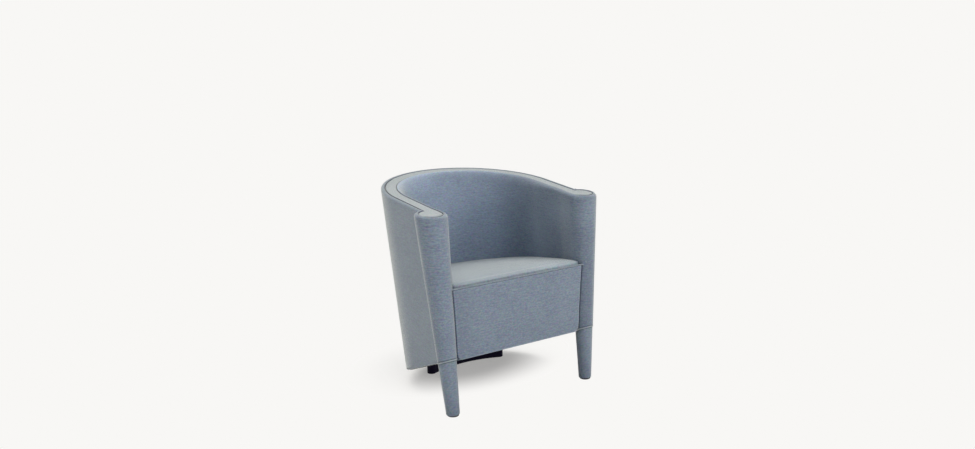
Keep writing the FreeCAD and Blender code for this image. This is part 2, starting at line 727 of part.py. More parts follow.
def seat_barrel(under):
    """A barrel lying across the chair, whose upper side is the crowned seat."""
    body = doc.addObject("PartDesign::Body", "barrel")
    sketch = sketch_on(body, "XZ_Plane")
    reach = size("far / 2")
    top = size("seat_arc - (%s)" % under)
    cross = size("seat_cross_arc")
    middle = Vector(0, top - cross, 0)
    lean = math.degrees(math.asin(reach / cross))
    sketch.addGeometry(arc(middle, cross, 90 - lean, 90 + lean), False)
    left = sketch.getPoint(0, 2)
    corners = [left, Vector(-reach, 0, 0), Vector(reach, 0, 0), sketch.getPoint(0, 1)]
    for start, end in zip(corners, corners[1:]):
        sketch.addGeometry(Part.LineSegment(start, end), False)
    for edge, end, next_edge, next_end in ((0, 2, 1, 1), (1, 2, 2, 1), (2, 2, 3, 1), (3, 2, 0, 1)):
        sketch.addConstraint(Sketcher.Constraint("Coincident", edge, end, next_edge, next_end))
    sketch.addConstraint(Sketcher.Constraint("PointOnObject", 0, 3, -2))
    sketch.addConstraint(Sketcher.Constraint("Vertical", 1))
    sketch.addConstraint(Sketcher.Constraint("Vertical", 3))
    sketch.addConstraint(Sketcher.Constraint("PointOnObject", 1, 2, -1))
    sketch.addConstraint(Sketcher.Constraint("PointOnObject", 2, 2, -1))
    dimension(sketch, "Radius", "seat_cross_arc", 0)
    dimension(sketch, "DistanceY", "seat_arc - (%s) - seat_cross_arc" % under, 0, 3)
    dimension(sketch, "DistanceX", "-far / 2", 1, 2)
    dimension(sketch, "DistanceX", "far / 2", 2, 2)
    turn = body.newObject("PartDesign::Revolution", "Revolution")
    turn.Profile = sketch
    turn.ReferenceAxis = (sketch, ["H_Axis"])
    turn.Angle = 360
    bind(body, Placement__Base__y="seat_arc_line", Placement__Base__z="seat_arc_level")
    return body


def make_seat():
    """Webbing, crowned foam, its cover, the padded front panel, piping and dust cover."""
    bearing = face("outer", "ply_face + seat_rail_thick - web_bearing")
    web_area = arch_loft("web_area", bearing, front="rail_line + front_rail_thick - web_bearing")
    clear = both(column_skin, "-column_gap", "panel_bottom - 2 * panel_corner")
    lengthways = []
    for step in (-2, -1, 0, 1, 2):
        middle = "%d * web_pitch" % step
        lengthways.append(box(
            "strap",
            (middle + " - web_width / 2", "-far", "deck_height"),
            (middle + " + web_width / 2", "far", "deck_height + web_thick"),
        ))
    keep("webbing_lengthways", group(*[common(strap, web_area) for strap in lengthways]))
    across = []
    for step in range(5):
        middle = "web_line + %d * web_pitch" % step
        across.append(box(
            "strap",
            ("-far", middle + " - web_width / 2", "deck_height + web_thick"),
            ("far", middle + " + web_width / 2", "foam_floor"),
        ))
    keep("webbing_across", group(*[cut(common(strap, web_area), *clear) for strap in across]))

    core = arch_loft("core", face("inner", "-seat_gap"), front="rail_line")
    crown = seat_barrel("0")
    lining = seat_barrel("cloth")
    below = slab("-far", "foam_floor")
    core = cut(core, *clear)
    top = "seat_front - piping_radius"
    middle = ("panel_line + piping_radius", "seat_front - piping_radius / 2")
    ends = [("-far", *middle), ("far", *middle)]
    groove = rod("groove", *ends, "piping_radius + cord_gap")
    keep("seat_foam", cut(common(core, lining), below, groove))
    keep("seat_cover", cut(common(core, crown), lining, groove))
    panel = rounded_panel("panel", "panel_line", "panel_line + cloth", top)
    keep("front_panel", cut(panel, groove, *clear))
    pad = rounded_panel("pad", "panel_line + cloth", "rail_line", top)
    keep("front_panel_pad", cut(pad, groove, *clear))
    piping_ends = [("-panel_half", *middle), ("panel_half", *middle)]
    keep("seat_piping", cut(rod("piping", *piping_ends, "piping_radius"), *clear))

    under = arch_loft("under", face("outer", "ply_face"), front="rail_line")
    return cut(under, under_hem("0"), over_hem("dust_cloth"), *clear)


def rounded_panel(name, front, back, top):
    """An upright panel across the chair with its two lower corners rounded."""
    body = doc.addObject("PartDesign::Body", name)
    sketch = sketch_on(body, "XZ_Plane", "-(%s)" % back)
    polygon(sketch, [
        ("-panel_half", "panel_bottom"),
        ("panel_half", "panel_bottom"),
        ("panel_half", top),
        ("-panel_half", top),
    ])
    pad = body.newObject("PartDesign::Pad", "Pad")
    pad.Profile = sketch
    bind(pad, Length="%s - (%s)" % (back, front))
    doc.recompute()
    low = []
    for number, edge in enumerate(pad.Shape.Edges, 1):
        along = edge.Vertexes[0].Point - edge.Vertexes[-1].Point
        at_floor = abs(edge.CenterOfMass.z - size("panel_bottom")) < 0.01
        if at_floor and abs(along.x) < 0.01:
            low.append("Edge%d" % number)
    fillet = body.newObject("PartDesign::Fillet", "Fillet")
    fillet.Base = (pad, low)
    bind(fillet, Radius="panel_corner")
    return body


def arc_piece(radius, name="arc_piece"):
    """A round slab on the plinth's arc, as tall as the plinth, over its angle."""
    piece = doc.addObject("Part::Cylinder", name)
    bind(piece, Radius=radius, Height="tail_height - plinth_glide", Angle="2 * plinth_turn")
    bind(piece, Placement__Base__y="plinth_line", Placement__Base__z="plinth_glide")
    piece.Placement = Placement(Vector(0, 0, 0), Rotation(Vector(0, 0, 1), 90))
    bind(piece, Placement__Rotation__Angle="90 - plinth_turn")
    return piece


def upright(name, angle, low, high, radius):
    """A round bar that stands on the middle line of the plinth at an angle from its centre."""
    bar = doc.addObject("Part::Cylinder", name)
    bind(bar, Radius=radius, Height="%s - (%s)" % (high, low))
    stand(bar, angle, low)
    return bar


def stand(thing, angle, level):
    """Put a piece on the middle line of the plinth, at an angle and a height."""
    bind(thing, Placement__Base__x="plinth_mid_arc * sin((%s) * 1 deg)" % angle)
    bind(thing, Placement__Base__y="plinth_line + plinth_mid_arc * cos((%s) * 1 deg)" % angle)
    bind(thing, Placement__Base__z=level)


def make_plinth(board, dust):
    """The low curved plinth with round ends, its felt glides and its screws."""
    curve = cut(arc_piece("plinth_arc + plinth_thick"), arc_piece("plinth_arc"))
    half_thick = "plinth_thick / 2"
    left_end = upright("end", "-plinth_turn", "plinth_glide", "tail_height", half_thick)
    right_end = upright("end", "plinth_turn", "plinth_glide", "tail_height", half_thick)
    body = fuse(curve, left_end, right_end)
    screws = []
    glides = []
    board_top = "tail_height + dust_cloth + base_board"
    head_depth = "(screw_head_radius - screw_radius)"
    for step in (-1, 0, 1):
        angle = "%d * screw_angle" % step
        shank = upright("shank", angle, board_top + " - screw_length", board_top, "screw_radius")
        head = doc.addObject("Part::Cone", "head")
        bind(head, Radius1="screw_radius", Radius2="screw_head_radius", Height=head_depth)
        stand(head, angle, "%s - %s" % (board_top, head_depth))
        screws.append(fuse(shank, head))
        place = "%d * plinth_turn" % step
        glides.append(upright("glide", place, "0", "plinth_glide", "plinth_glide_radius"))
    keep("plinth_screws", group(*screws))
    keep("plinth_glides", group(*glides))
    keep("plinth", cut(body, *screws))
    keep("base_board", cut(board, *screws))
    keep("dust_cover", cut(dust, *screws))


posts = both(post_skin)
columns = both(column_skin, "0")
panels = make_shell(posts, columns)
make_rim(columns)
board, rails = make_frame(posts)
make_corner_blocks(columns)
make_columns(panels + rails)
dust = make_seat()
make_plinth(board, dust)
doc.recompute()

faults = [item.Name for item in doc.Objects if "Invalid" in item.State or "Error" in item.State]
for name, thing in parts.items():
    if thing.Shape.isNull() or not thing.Shape.isValid() or not thing.Shape.Solids:
        faults.append(name)
if faults:
    raise RuntimeError("not built: " + ", ".join(faults))

os.makedirs("parts", exist_ok=True)
for name, thing in parts.items():
    thing.Shape.exportStep("parts/%s.step" % name)
    print("%-20s %2d solid(s), %.0f mm3" % (name, len(thing.Shape.Solids), thing.Shape.Volume))
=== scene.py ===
# %% [markdown]
# # A small upholstered tub armchair
# This lesson dresses a finished engineering model in cloth, wood and lacquer. The model
# already knows every solid of the chair. Here each piece that the eye meets is made again
# with its seams, rolls and folds, and each solid that stays gets a proper finish.
#
# All lengths are metres. X runs across the chair, +Y to its back and +Z up, and the origin
# lies on the floor under the middle of the chair.

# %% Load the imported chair
import json
import math
import bmesh
import bpy
import numpy as np
from mathutils import Matrix, Vector


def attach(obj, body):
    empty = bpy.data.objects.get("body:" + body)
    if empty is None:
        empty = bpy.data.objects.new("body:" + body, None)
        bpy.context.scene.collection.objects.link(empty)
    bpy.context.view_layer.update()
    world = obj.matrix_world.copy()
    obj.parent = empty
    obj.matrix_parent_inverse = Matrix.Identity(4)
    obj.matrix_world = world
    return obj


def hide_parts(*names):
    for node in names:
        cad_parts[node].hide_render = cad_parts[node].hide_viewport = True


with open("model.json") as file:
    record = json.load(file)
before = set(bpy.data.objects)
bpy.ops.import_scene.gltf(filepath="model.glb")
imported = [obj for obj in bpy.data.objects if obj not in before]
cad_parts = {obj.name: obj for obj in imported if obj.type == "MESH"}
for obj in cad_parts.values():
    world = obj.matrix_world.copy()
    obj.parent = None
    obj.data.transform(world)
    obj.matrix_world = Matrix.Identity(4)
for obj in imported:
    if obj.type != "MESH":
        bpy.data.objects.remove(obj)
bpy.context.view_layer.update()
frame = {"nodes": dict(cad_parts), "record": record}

# %% [markdown]
# ## The sizes that shape everything
# The shell leans, so its width and the middle of its round back change with height, both
# in a straight line. The two front columns rake as well. Writing these few rules once
# means that cover, rim, seat and piping all meet, because they ask the same functions.

# %% Named sizes
BACK_HEIGHT, ARM_HEIGHT = 0.702, 0.661
HEAD_LINE, FOOT_LINE, BACK_LINE = -0.231, -0.294, 0.315
FOOT_OUT, SPLAY, RAKE = 0.275, 0.025, 0.063
TAIL_HEIGHT, TAIL_START = 0.042, 0.050
RING_HEIGHT, RING_RADIUS, HEAD_RADIUS = 0.182, 0.0304, 0.0518
OUTER_ROLL, INNER_ROLL, HEAD_ROLL, HEAD_FRONT = 0.0155, 0.0115, 0.013, -0.235
PANEL_PLANE, PANEL_TOP, PANEL_BOTTOM = -0.289, 0.4185, 0.179
RIM_SLOPE = (BACK_HEIGHT - ARM_HEIGHT) / (BACK_LINE - HEAD_LINE)
COLUMN_FLARE = (HEAD_RADIUS - RING_RADIUS) / (ARM_HEIGHT - RING_HEIGHT)
RING_LINE = FOOT_LINE + RAKE * RING_HEIGHT / ARM_HEIGHT
TAIL_SLOPE = (RING_HEIGHT - TAIL_HEIGHT) / (TAIL_START - RING_LINE)


def rim_height(y):
    """Height of the rim: a straight line that rises a little to the back."""
    return ARM_HEIGHT + RIM_SLOPE * (y - HEAD_LINE)


def hem_height(y):
    """Height of the bottom edge: it falls from the columns, then runs level."""
    return TAIL_HEIGHT + TAIL_SLOPE * np.maximum(TAIL_START - y, 0)


def ring_level(y):
    """The hem's slope carried on through the front columns, where the welt rings lie."""
    return RING_HEIGHT - TAIL_SLOPE * (y - RING_LINE)


def outer_face(z):
    """Half width of the outside of the shell, and y of the middle of its arc."""
    return 0.290 + 0.029 * z / BACK_HEIGHT, -0.092 + 0.088 * z / BACK_HEIGHT


def inner_face(z):
    """The same two values for the inside of the shell."""
    return 0.265 - 0.012 * z / BACK_HEIGHT, -0.138 + 0.134 * z / BACK_HEIGHT


def column(z):
    """Half distance between the column axes, their y, and the covered radius."""
    out = FOOT_OUT + SPLAY * z / ARM_HEIGHT
    back = FOOT_LINE + RAKE * z / ARM_HEIGHT
    return out, back, RING_RADIUS + COLUMN_FLARE * (z - RING_HEIGHT)


def ease(t):
    """Smooth step: 0 below 0, 1 above 1, and level at both ends."""
    t = np.clip(t, 0.0, 1.0)
    return t * t * (3.0 - 2.0 * t)


def bump(distance, width):
    """1 on a line and 0 from a width away, falling as the square of what is left."""
    return np.clip(1.0 - distance / width, 0.0, 1.0) ** 2


def stack(*values):
    """Arrays side by side in one array, such as x, y and z of every point."""
    return np.stack(np.broadcast_arrays(*values), axis=-1)


def raised(plan, z):
    """Places of a plan, x and y, at given heights."""
    return stack(plan[..., 0], plan[..., 1], z)


print("rim rises", round(RIM_SLOPE, 4), "hem falls", round(TAIL_SLOPE, 4))

# %% [markdown]
# ## The camera
# The photograph's viewpoint was found by fitting the chair's own edges to the picture. A
# camera in Blender looks down its own -Z with +Y up, so the three directions of the view
# are simply the columns of its matrix.

# %% Camera at the photograph's angle
WIDE, TALL = 975, 449
place, yaw, pitch, roll = (-1.70644, -2.72184, 1.26032), 0.616, 0.258, -0.005
focal_pixels, middle_x, middle_y = 933.323, 524.480, 260.484
SENSOR = 36.0

ahead = Vector((math.sin(yaw) * math.cos(pitch), math.cos(yaw) * math.cos(pitch),
                -math.sin(pitch)))
level = Vector((math.cos(yaw), -math.sin(yaw), 0.0))
above = level.cross(ahead)
right = level * math.cos(roll) + above * math.sin(roll)
up = above * math.cos(roll) - level * math.sin(roll)

lens = bpy.data.cameras.new("camera")
lens.sensor_width = SENSOR
lens.lens = focal_pixels * SENSOR / WIDE
lens.shift_x = (WIDE / 2 - middle_x) / WIDE
lens.shift_y = (middle_y - TALL / 2) / WIDE
camera = bpy.data.objects.new("camera", lens)
rows = [[right[i], up[i], -ahead[i], place[i]] for i in range(3)]
camera.matrix_world = Matrix(rows + [[0.0, 0.0, 0.0, 1.0]])
bpy.context.scene.collection.objects.link(camera)
bpy.context.scene.camera = camera
bpy.context.scene.view_settings.view_transform = "Standard"
print("lens", round(lens.lens, 2), "mm, shift", round(lens.shift_x, 4), round(lens.shift_y, 4))

# %% [markdown]
# ## Light
# The studio of the photograph has one soft shadow under the chair. The main lamp is broad
# and stands high behind: it makes the rim and the seat pale and leaves the inside of the
# back in shade. Four weaker lamps from overhead, from the right and from in front fill that
# shade. Their strengths come from renders under one lamp at a time. A sun shines evenly
# over the whole chair, so each lamp needs only a direction, a spread and a strength.


# %% Lamps
def lamp(name, spread, strength, colour, azimuth, elevation):
    """A far lamp with a spread, an azimuth and an elevation in degrees."""
    light = bpy.data.lights.new(name, "SUN")
    light.angle = math.radians(spread)
    light.energy = strength
    light.color = colour
    holder = bpy.data.objects.new(name, light)
    turn, climb = math.radians(azimuth), math.radians(elevation)
    towards = Vector((math.sin(turn) * math.cos(climb), -math.cos(turn) * math.cos(climb),
                      math.sin(climb)))
    holder.rotation_mode = "QUATERNION"
    holder.rotation_quaternion = towards.to_track_quat("Z", "Y")
    bpy.context.scene.collection.objects.link(holder)


lamp("high_behind", 45, 2.25, (1.0, 0.985, 0.95), 180, 56)
lamp("in_front", 40, 0.24, (0.96, 0.94, 1.0), -10, 32)
lamp("from_right", 34, 0.20, (0.98, 1.0, 1.0), 100, 32)
lamp("overhead", 60, 0.75, (0.97, 0.98, 1.0), 30, 76)
lamp("low_in_front", 26, 0.50, (0.97, 0.98, 1.0), 26, 15)
print(len(bpy.data.lights), "lamps")

# %% [markdown]
# ## The backdrop
# Behind the chair is plain pale paper. The world has two faces: the camera sees the
# paper's colour, while a much weaker, slightly blue one lights the cloth, so that the lamps
# decide the light. Every look is a tree of nodes like this one. The helpers keep such trees
# short: each adds a node and fills its sockets with numbers or with links.


# %% Helpers for node trees, and the world
def feed(tree, socket, value):
    """Link another node's output to a socket, or give the socket a plain value."""
    if isinstance(value, bpy.types.NodeSocket):
        tree.links.new(value, socket)
    else:
        socket.default_value = value


def add(tree, kind, **inputs):
    """A new node with its inputs filled; names have underscores in place of spaces."""
    node = tree.nodes.new("ShaderNode" + kind)
    for name, value in inputs.items():
        feed(tree, node.inputs[name.replace("_", " ")], value)
    return node


def maths(tree, operation, *values, kind="Math"):
    """A sum of numbers, or of vectors with the kind VectorMath; gives its output."""
    node = tree.nodes.new("ShaderNode" + kind)
    node.operation = operation
    for socket, value in zip(node.inputs, values):
        feed(tree, socket, value)
    return node.outputs["Value" if operation == "LENGTH" else 0]


def spread(tree, value, low, high, start=0.0):
    """Rise smoothly from start to 1 while the value goes from low to high."""
    node = add(tree, "MapRange", Value=value, From_Min=low, From_Max=high, To_Min=start)
    node.interpolation_type = "SMOOTHSTEP"
    return node.outputs["Result"]


def directly_seen(tree):
    """1 for rays from the camera or through glass or mirrors, 0 for soft light."""
    path = add(tree, "LightPath").outputs
    seen = maths(tree, "MAXIMUM", path["Is Camera Ray"], path["Is Glossy Ray"])
    return maths(tree, "MAXIMUM", seen, path["Is Transmission Ray"])


def end_in_mix(tree, kind, factor, first, second):
    """Mix two shaders by a factor and lead the mix to the tree's output."""
    mix = add(tree, "MixShader")
    for socket, value in zip(mix.inputs, (factor, first.outputs[0], second.outputs[0])):
        feed(tree, socket, value)
    tree.links.new(mix.outputs[0], add(tree, "Output" + kind).inputs[0])


BACKGROUND = (0.939, 0.930, 0.913, 1.0)
world = bpy.data.worlds.new("studio")
world.use_nodes = True
bpy.context.scene.world = world
sky = world.node_tree
sky.nodes.clear()
soft = add(sky, "Background", Color=(0.90, 0.95, 1.0, 1.0), Strength=0.03)
pale = add(sky, "Background", Color=BACKGROUND, Strength=1.0)
end_in_mix(sky, "World", directly_seen(sky), soft, pale)
print("world has", len(sky.nodes), "nodes")

# %% [markdown]
# ## The floor
# The pale floor takes the chair's shadow and then melts into the backdrop. Near the chair it
# is mostly an ordinary matt surface, but even there 36 per cent of what the camera sees is
# the background's colour glowing, which pales the shadow: painted light. The fade's centre
# and shape set how far the shadow reaches. Further out it fades wholly to that colour, so
# that no edge shows. Only rays that see it directly meet that colour, so it adds no light.


# %% Floor that fades into the background
def add_mesh(name, points, faces, smooth=True):
    """A new object in the scene from arrays of points and faces."""
    mesh = bpy.data.meshes.new(name)
    mesh.from_pydata(np.reshape(points, (-1, 3)).tolist(), [], np.asarray(faces).tolist())
    mesh.polygons.foreach_set("use_smooth", np.full(len(faces), smooth))
    mesh.update()
    thing = bpy.data.objects.new(name, mesh)
    bpy.context.scene.collection.objects.link(thing)
    return thing


HALF = 40.0
FADE_CENTRE, FADE_SHAPE = (0.01, 0.12, 0.0), (1.0, 1.4, 1.0)
# FADE_LEAST is the share of background glow even under the chair: it pales the shadow, as
# painted light.
FADE_FROM, FADE_TO, FADE_LEAST = 0.17, 0.455, 0.36
corners = [(-HALF, -HALF, 0.0), (HALF, -HALF, 0.0), (HALF, HALF, 0.0), (-HALF, HALF, 0.0)]
floor = add_mesh("studio_floor", corners, [(0, 1, 2, 3)], smooth=False)
paint = bpy.data.materials.new("floor_paint")
paint.use_nodes = True
tree = paint.node_tree
tree.nodes.clear()
spot = maths(tree, "SUBTRACT", add(tree, "TexCoord").outputs["Object"], FADE_CENTRE,
             kind="VectorMath")
spot = maths(tree, "MULTIPLY", spot, FADE_SHAPE, kind="VectorMath")
reach = maths(tree, "LENGTH", spot, kind="VectorMath")
fade = spread(tree, reach, FADE_FROM, FADE_TO, FADE_LEAST)
end_in_mix(tree, "Material", maths(tree, "MULTIPLY", fade, directly_seen(tree)),
           add(tree, "BsdfDiffuse", Color=(0.945, 0.937, 0.925, 1.0)),
           add(tree, "Emission", Color=BACKGROUND))
floor.data.materials.append(paint)
print("floor fades from", FADE_FROM, "to", FADE_TO, "m")

# %% [markdown]
# ## Cloth that shows its yarn
# The cover is a heavy wool in which light and dark fibres are spun together. From a few
# steps away it shows level streaks, where a thicker yarn runs for some centimetres, and
# close by it shows a fine plain weave. Both follow the cloth, so the pattern reads the
# piece's own map, laid out in metres. One node group makes it for every covered piece.


# %% A group for yarn and weave
def noise(tree, vector, detail, rough=0.6):
    """Smooth noise whose waves are about one unit of the vector long."""
    return add(tree, "TexNoise", Vector=vector, Scale=1.0, Detail=detail, Roughness=rough)


def stretched(tree, vector, *factors):
    """The same place with each direction multiplied, so that noise becomes streaks."""
    return maths(tree, "MULTIPLY", vector, factors, kind="VectorMath")


def blended(tree, factor, first, second, kind="MIX"):
    """Mix two colours by a factor."""
    node = add(tree, "Mix")
    node.data_type = "RGBA"
    node.blend_type = kind
    for label, value in (("Factor", factor), ("A", first), ("B", second)):
        feed(tree, node.inputs[label], value)
    return node.outputs["Result"]


wool = bpy.data.node_groups.new("spun_wool", "ShaderNodeTree")
for way, kind, labels in (
        ("INPUT", "Vector", ["Place"]), ("INPUT", "Color", ["Dark yarn", "Light yarn"]),
        ("INPUT", "Float", ["Streaks"]), ("OUTPUT", "Color", ["Colour"]),
        ("OUTPUT", "Float", ["Roughness", "Height"])):
    for label in labels:
        wool.interface.new_socket(label, in_out=way, socket_type="NodeSocket" + kind)
given = wool.nodes.new("NodeGroupInput").outputs
gives = wool.nodes.new("NodeGroupOutput").inputs


def sums(operation, *values):
    """The same maths, always in the wool group."""
    return maths(wool, operation, *values)


def varied(wave_along, wave_across, weight):
    """Noise with given wavelengths in millimetres, centred on 0 and weighted."""
    waves = stretched(wool, given["Place"], 1000.0 / wave_along, 1000.0 / wave_across, 1.0)
    value = spread(wool, noise(wool, waves, 2.0).outputs["Fac"], 0.28, 0.74)
    return sums("MULTIPLY", sums("SUBTRACT", value, 0.5), weight)


THREAD = math.pi / 0.0009
slubs = sums("MULTIPLY", sums("ADD", varied(50, 4.2, 0.22), varied(20, 3.4, 0.24)),
             given["Streaks"])
flecks = sums("ADD", varied(8.0, 4.8, 0.36), varied(1.6, 0.8, 0.60))
shade = sums("ADD", sums("ADD", slubs, flecks), varied(150, 110, 0.14))
limit = wool.nodes.new("ShaderNodeClamp")
feed(wool, limit.inputs[0], sums("ADD", shade, 0.5))
spun = blended(wool, limit.outputs[0], given["Dark yarn"], given["Light yarn"])
hue = noise(wool, stretched(wool, given["Place"], 110, 200, 1.0), 1.0, 0.5)
feed(wool, gives["Colour"], blended(wool, 0.48, spun, hue.outputs["Color"], "SOFT_LIGHT"))
split = wool.nodes.new("ShaderNodeSeparateXYZ")
feed(wool, split.inputs[0], given["Place"])
warp, weft = (sums("SINE", sums("MULTIPLY", split.outputs[way], THREAD)) for way in "XY")
weave = sums("MULTIPLY", sums("MULTIPLY", warp, weft), 0.5)
feed(wool, gives["Height"], sums("ADD", weave, sums("ADD", flecks, slubs)))
feed(wool, gives["Roughness"], sums("SUBTRACT", 0.92, sums("MULTIPLY", shade, 0.12)))
print("wool group has", len(wool.nodes), "nodes")

# %% [markdown]
# ## Wool finishes
# Wool is matt. Where the surface turns away a pale colour is mixed in, a painted sheen:
# Layer Weight tells how far it turns and its square sets the share; the shader's sheen adds
# a little more. Two values that each piece writes on its own points do the rest. Where
# nap is high the yarn is painted paler, as painted light, and where seam
# is high it is painted nearly black, as painted shade in seams, creases, gaps and some open
# cloth. The seat and the facing use paler copies of the wool, painted lit as cloth that faces
# up to the lamp.


# %% The wool finishes
def finish_for(name, strength, depth):
    """A fresh material: its tree, its shader's inputs and the bump in front of it."""
    made = bpy.data.materials.new(name)
    made.use_nodes = True
    tree = made.node_tree
    inputs = tree.nodes["Principled BSDF"].inputs
    relief = add(tree, "Bump", Strength=strength, Distance=depth)
    feed(tree, inputs["Normal"], relief.outputs[0])
    return made, tree, inputs, relief.inputs["Height"]


def written(tree, label):
    """A value that the piece carries on its points."""
    node = add(tree, "Attribute")
    node.attribute_name = label
    return node.outputs["Fac"]


# Painted sheen: its share and the pale colour mixed in where the surface turns away.
PAINTED_SHEEN, PAINTED_SHEEN_COLOUR = 0.50, (0.62, 0.66, 0.61, 1.0)
# Painted light: how much paler the yarn gets where nap is 1.
PAINTED_LIGHT_GAIN = 0.85
# Painted shade: how strongly seam darkens, and the nearly black blue it darkens to.
PAINTED_SHADE_STRENGTH, PAINTED_SHADE_COLOUR = 0.85, (0.008, 0.012, 0.045, 1.0)


def wool_finish(name, dark, light, streak=1.0, own_map=True):
    """Spun wool between a dark and a light yarn, laid by the piece's map or by its place."""
    made, tree, inputs, height = finish_for(name, 0.35, 0.0006)
    if own_map:
        where = add(tree, "UVMap")
        where.uv_map = "cloth"
        where = where.outputs["UV"]
    else:
        where = add(tree, "TexCoord").outputs["Object"]
    yarn = tree.nodes.new("ShaderNodeGroup")
    yarn.node_tree = wool
    for label, value in (("Place", where), ("Dark yarn", (*dark, 1.0)),
                         ("Light yarn", (*light, 1.0)), ("Streaks", streak)):
        feed(tree, yarn.inputs[label], value)
    # Painted light: where nap is high the yarn colour is scaled paler.
    lightened = add(tree, "VectorMath", Vector=yarn.outputs["Colour"])
    lightened.operation = "SCALE"
    paler = maths(tree, "MULTIPLY_ADD", written(tree, "nap"), PAINTED_LIGHT_GAIN, 1.0)
    feed(tree, lightened.inputs["Scale"], paler)
    # Painted sheen: Layer Weight mixes the pale colour in where the surface turns away.
    turned = add(tree, "LayerWeight", Blend=0.5).outputs["Facing"]
    sheen_share = maths(tree, "MULTIPLY", maths(tree, "POWER", turned, 2.0), PAINTED_SHEEN)
    sheened = blended(tree, sheen_share, lightened.outputs[0], PAINTED_SHEEN_COLOUR)
    # Painted shade: where seam is high the colour goes towards nearly black.
    deep = maths(tree, "MULTIPLY", written(tree, "seam"), PAINTED_SHADE_STRENGTH)
    for socket, value in (
            (inputs["Base Color"], blended(tree, deep, sheened, PAINTED_SHADE_COLOUR)),
            (inputs["Roughness"], yarn.outputs["Roughness"]), (height, yarn.outputs["Height"]),
            (inputs["Specular IOR Level"], 0.18), (inputs["Sheen Weight"], 0.9),
            (inputs["Sheen Roughness"], 0.30), (inputs["Sheen Tint"], (1.0, 1.0, 0.95, 1.0))):
        feed(tree, socket, value)
    return made


blue_grey = wool_finish("wool_blue_grey", (0.195, 0.255, 0.345), (0.425, 0.485, 0.570))
# The seat and facing wools are paler copies of the blue grey, painted light as on cloth that
# faces up to the lamp. Cords, rings and piping use them too.
seat_wool_painted_lit = wool_finish("wool_seat_painted_lit", (0.270, 0.330, 0.395), (0.470, 0.530, 0.580), 0.6)
facing_wool_painted_lit = wool_finish("wool_facing_painted_lit", (0.408, 0.459, 0.503), (0.610, 0.660, 0.695), 0.3)
print("three wools for pieces with a map")

# %% [markdown]
# ## Timber, foam, webbing and fittings
# The solids that stay need finishes of their own, even where nothing shows them, because
# someone may take the chair apart. Each is one pattern between two colours: wood has
# stretched noise along its grain, foam has fine cells, webbing has stripes. So a table of
# colours, waves to the metre, roughness and depth of relief says all that differs.


# %% Finishes by material slot
def patterned(name, first, second, waves, rough, depth):
    """Noise, stretched by three factors in waves to the metre, between two colours."""
    made, tree, inputs, height = finish_for(name, 0.4, depth)
    place = add(tree, "TexCoord").outputs["Object"]
    grain = noise(tree, stretched(tree, place, *waves), 4.0).outputs["Fac"]
    mask = spread(tree, grain, 0.3, 0.7)
    feed(tree, inputs["Base Color"], blended(tree, mask, (*first, 1.0), (*second, 1.0)))
    change = maths(tree, "MULTIPLY", maths(tree, "SUBTRACT", mask, 0.5), 0.16)
    feed(tree, inputs["Roughness"], maths(tree, "ADD", change, rough))
    feed(tree, height, mask)
    return made


finishes = {slot: patterned(*row) for slot, row in {
    "beech": ("planed_beech", (0.50, 0.30, 0.15), (0.66, 0.44, 0.25),
              (14, 60, 160), 0.52, 0.0002),
    "plywood": ("birch_plywood", (0.52, 0.36, 0.19), (0.68, 0.50, 0.30),
                (9, 9, 420), 0.55, 0.0002),
    "foam": ("seat_foam", (0.66, 0.58, 0.36), (0.78, 0.71, 0.50),
             (900, 900, 900), 0.95, 0.0006),
    "wadding": ("polyester_wadding", (0.66, 0.67, 0.64), (0.82, 0.82, 0.80),
                (60, 60, 240), 0.97, 0.0015),
    "webbing": ("jute_webbing", (0.020, 0.018, 0.016), (0.075, 0.066, 0.055),
                (260, 260, 900), 0.88, 0.0008),
    "glide_plastic": ("glide_plastic", (0.010, 0.010, 0.013), (0.022, 0.022, 0.026),
                      (500, 500, 500), 0.52, 0.0001),
    "felt": ("grey_felt", (0.015, 0.015, 0.015), (0.060, 0.060, 0.060),
             (900, 900, 900), 0.96, 0.0006),
    "screw_steel": ("zinc_plated_steel", (0.42, 0.42, 0.40), (0.60, 0.60, 0.57),
                    (300, 300, 300), 0.34, 0.00005),
    "plinth_lacquer": ("navy_black_lacquer", (0.0055, 0.0038, 0.0160),
                       (0.0110, 0.0075, 0.0300), (30, 200, 500), 0.55, 0.0001),
    "dust_cloth": ("black_non_woven", (0.008, 0.008, 0.009), (0.022, 0.022, 0.024),
                   (700, 700, 700), 0.90, 0.0004)}.items()}
finishes["cover_cloth"] = wool_finish("wool_by_place", (0.215, 0.275, 0.360),
                                      (0.445, 0.505, 0.580), own_map=False)
for slot, label, value in (("screw_steel", "Metallic", 1.0),
                           ("plinth_lacquer", "Specular IOR Level", 0.08)):
    shader = finishes[slot].node_tree.nodes["Principled BSDF"]
    shader.inputs[label].default_value = value

slot_of = {part["node"]: part["material_slot"] for part in frame["record"]["subparts"]}
for name, solid in frame["nodes"].items():
    for holder in solid.material_slots:
        holder.material = finishes[slot_of[name]]
print(len(finishes), "finishes on", len(frame["nodes"]), "solids")

# %% [markdown]
# ## Turning a formula into a mesh
# Every new surface is a grid: each row is one step in one direction and each column one
# step in the other. The helper joins neighbours with four-sided faces and writes the cloth
# map, which is the distance along the surface in metres. A second helper, dress, gives the
# finished piece its material and its place in the chair and hides the solids it stands for.


# %% Grid to mesh
def quads(grid):
    """Four-sided faces between neighbouring numbers of a grid."""
    return stack(grid[:-1, :-1], grid[:-1, 1:], grid[1:, 1:], grid[1:, :-1]).reshape(-1, 4)


def lay_cloth(thing, places):
    """Write the cloth map: two values in metres for each corner of each face."""
    layer = thing.data.uv_layers.new(name="cloth")
    layer.data.foreach_set("uv", places.ravel())


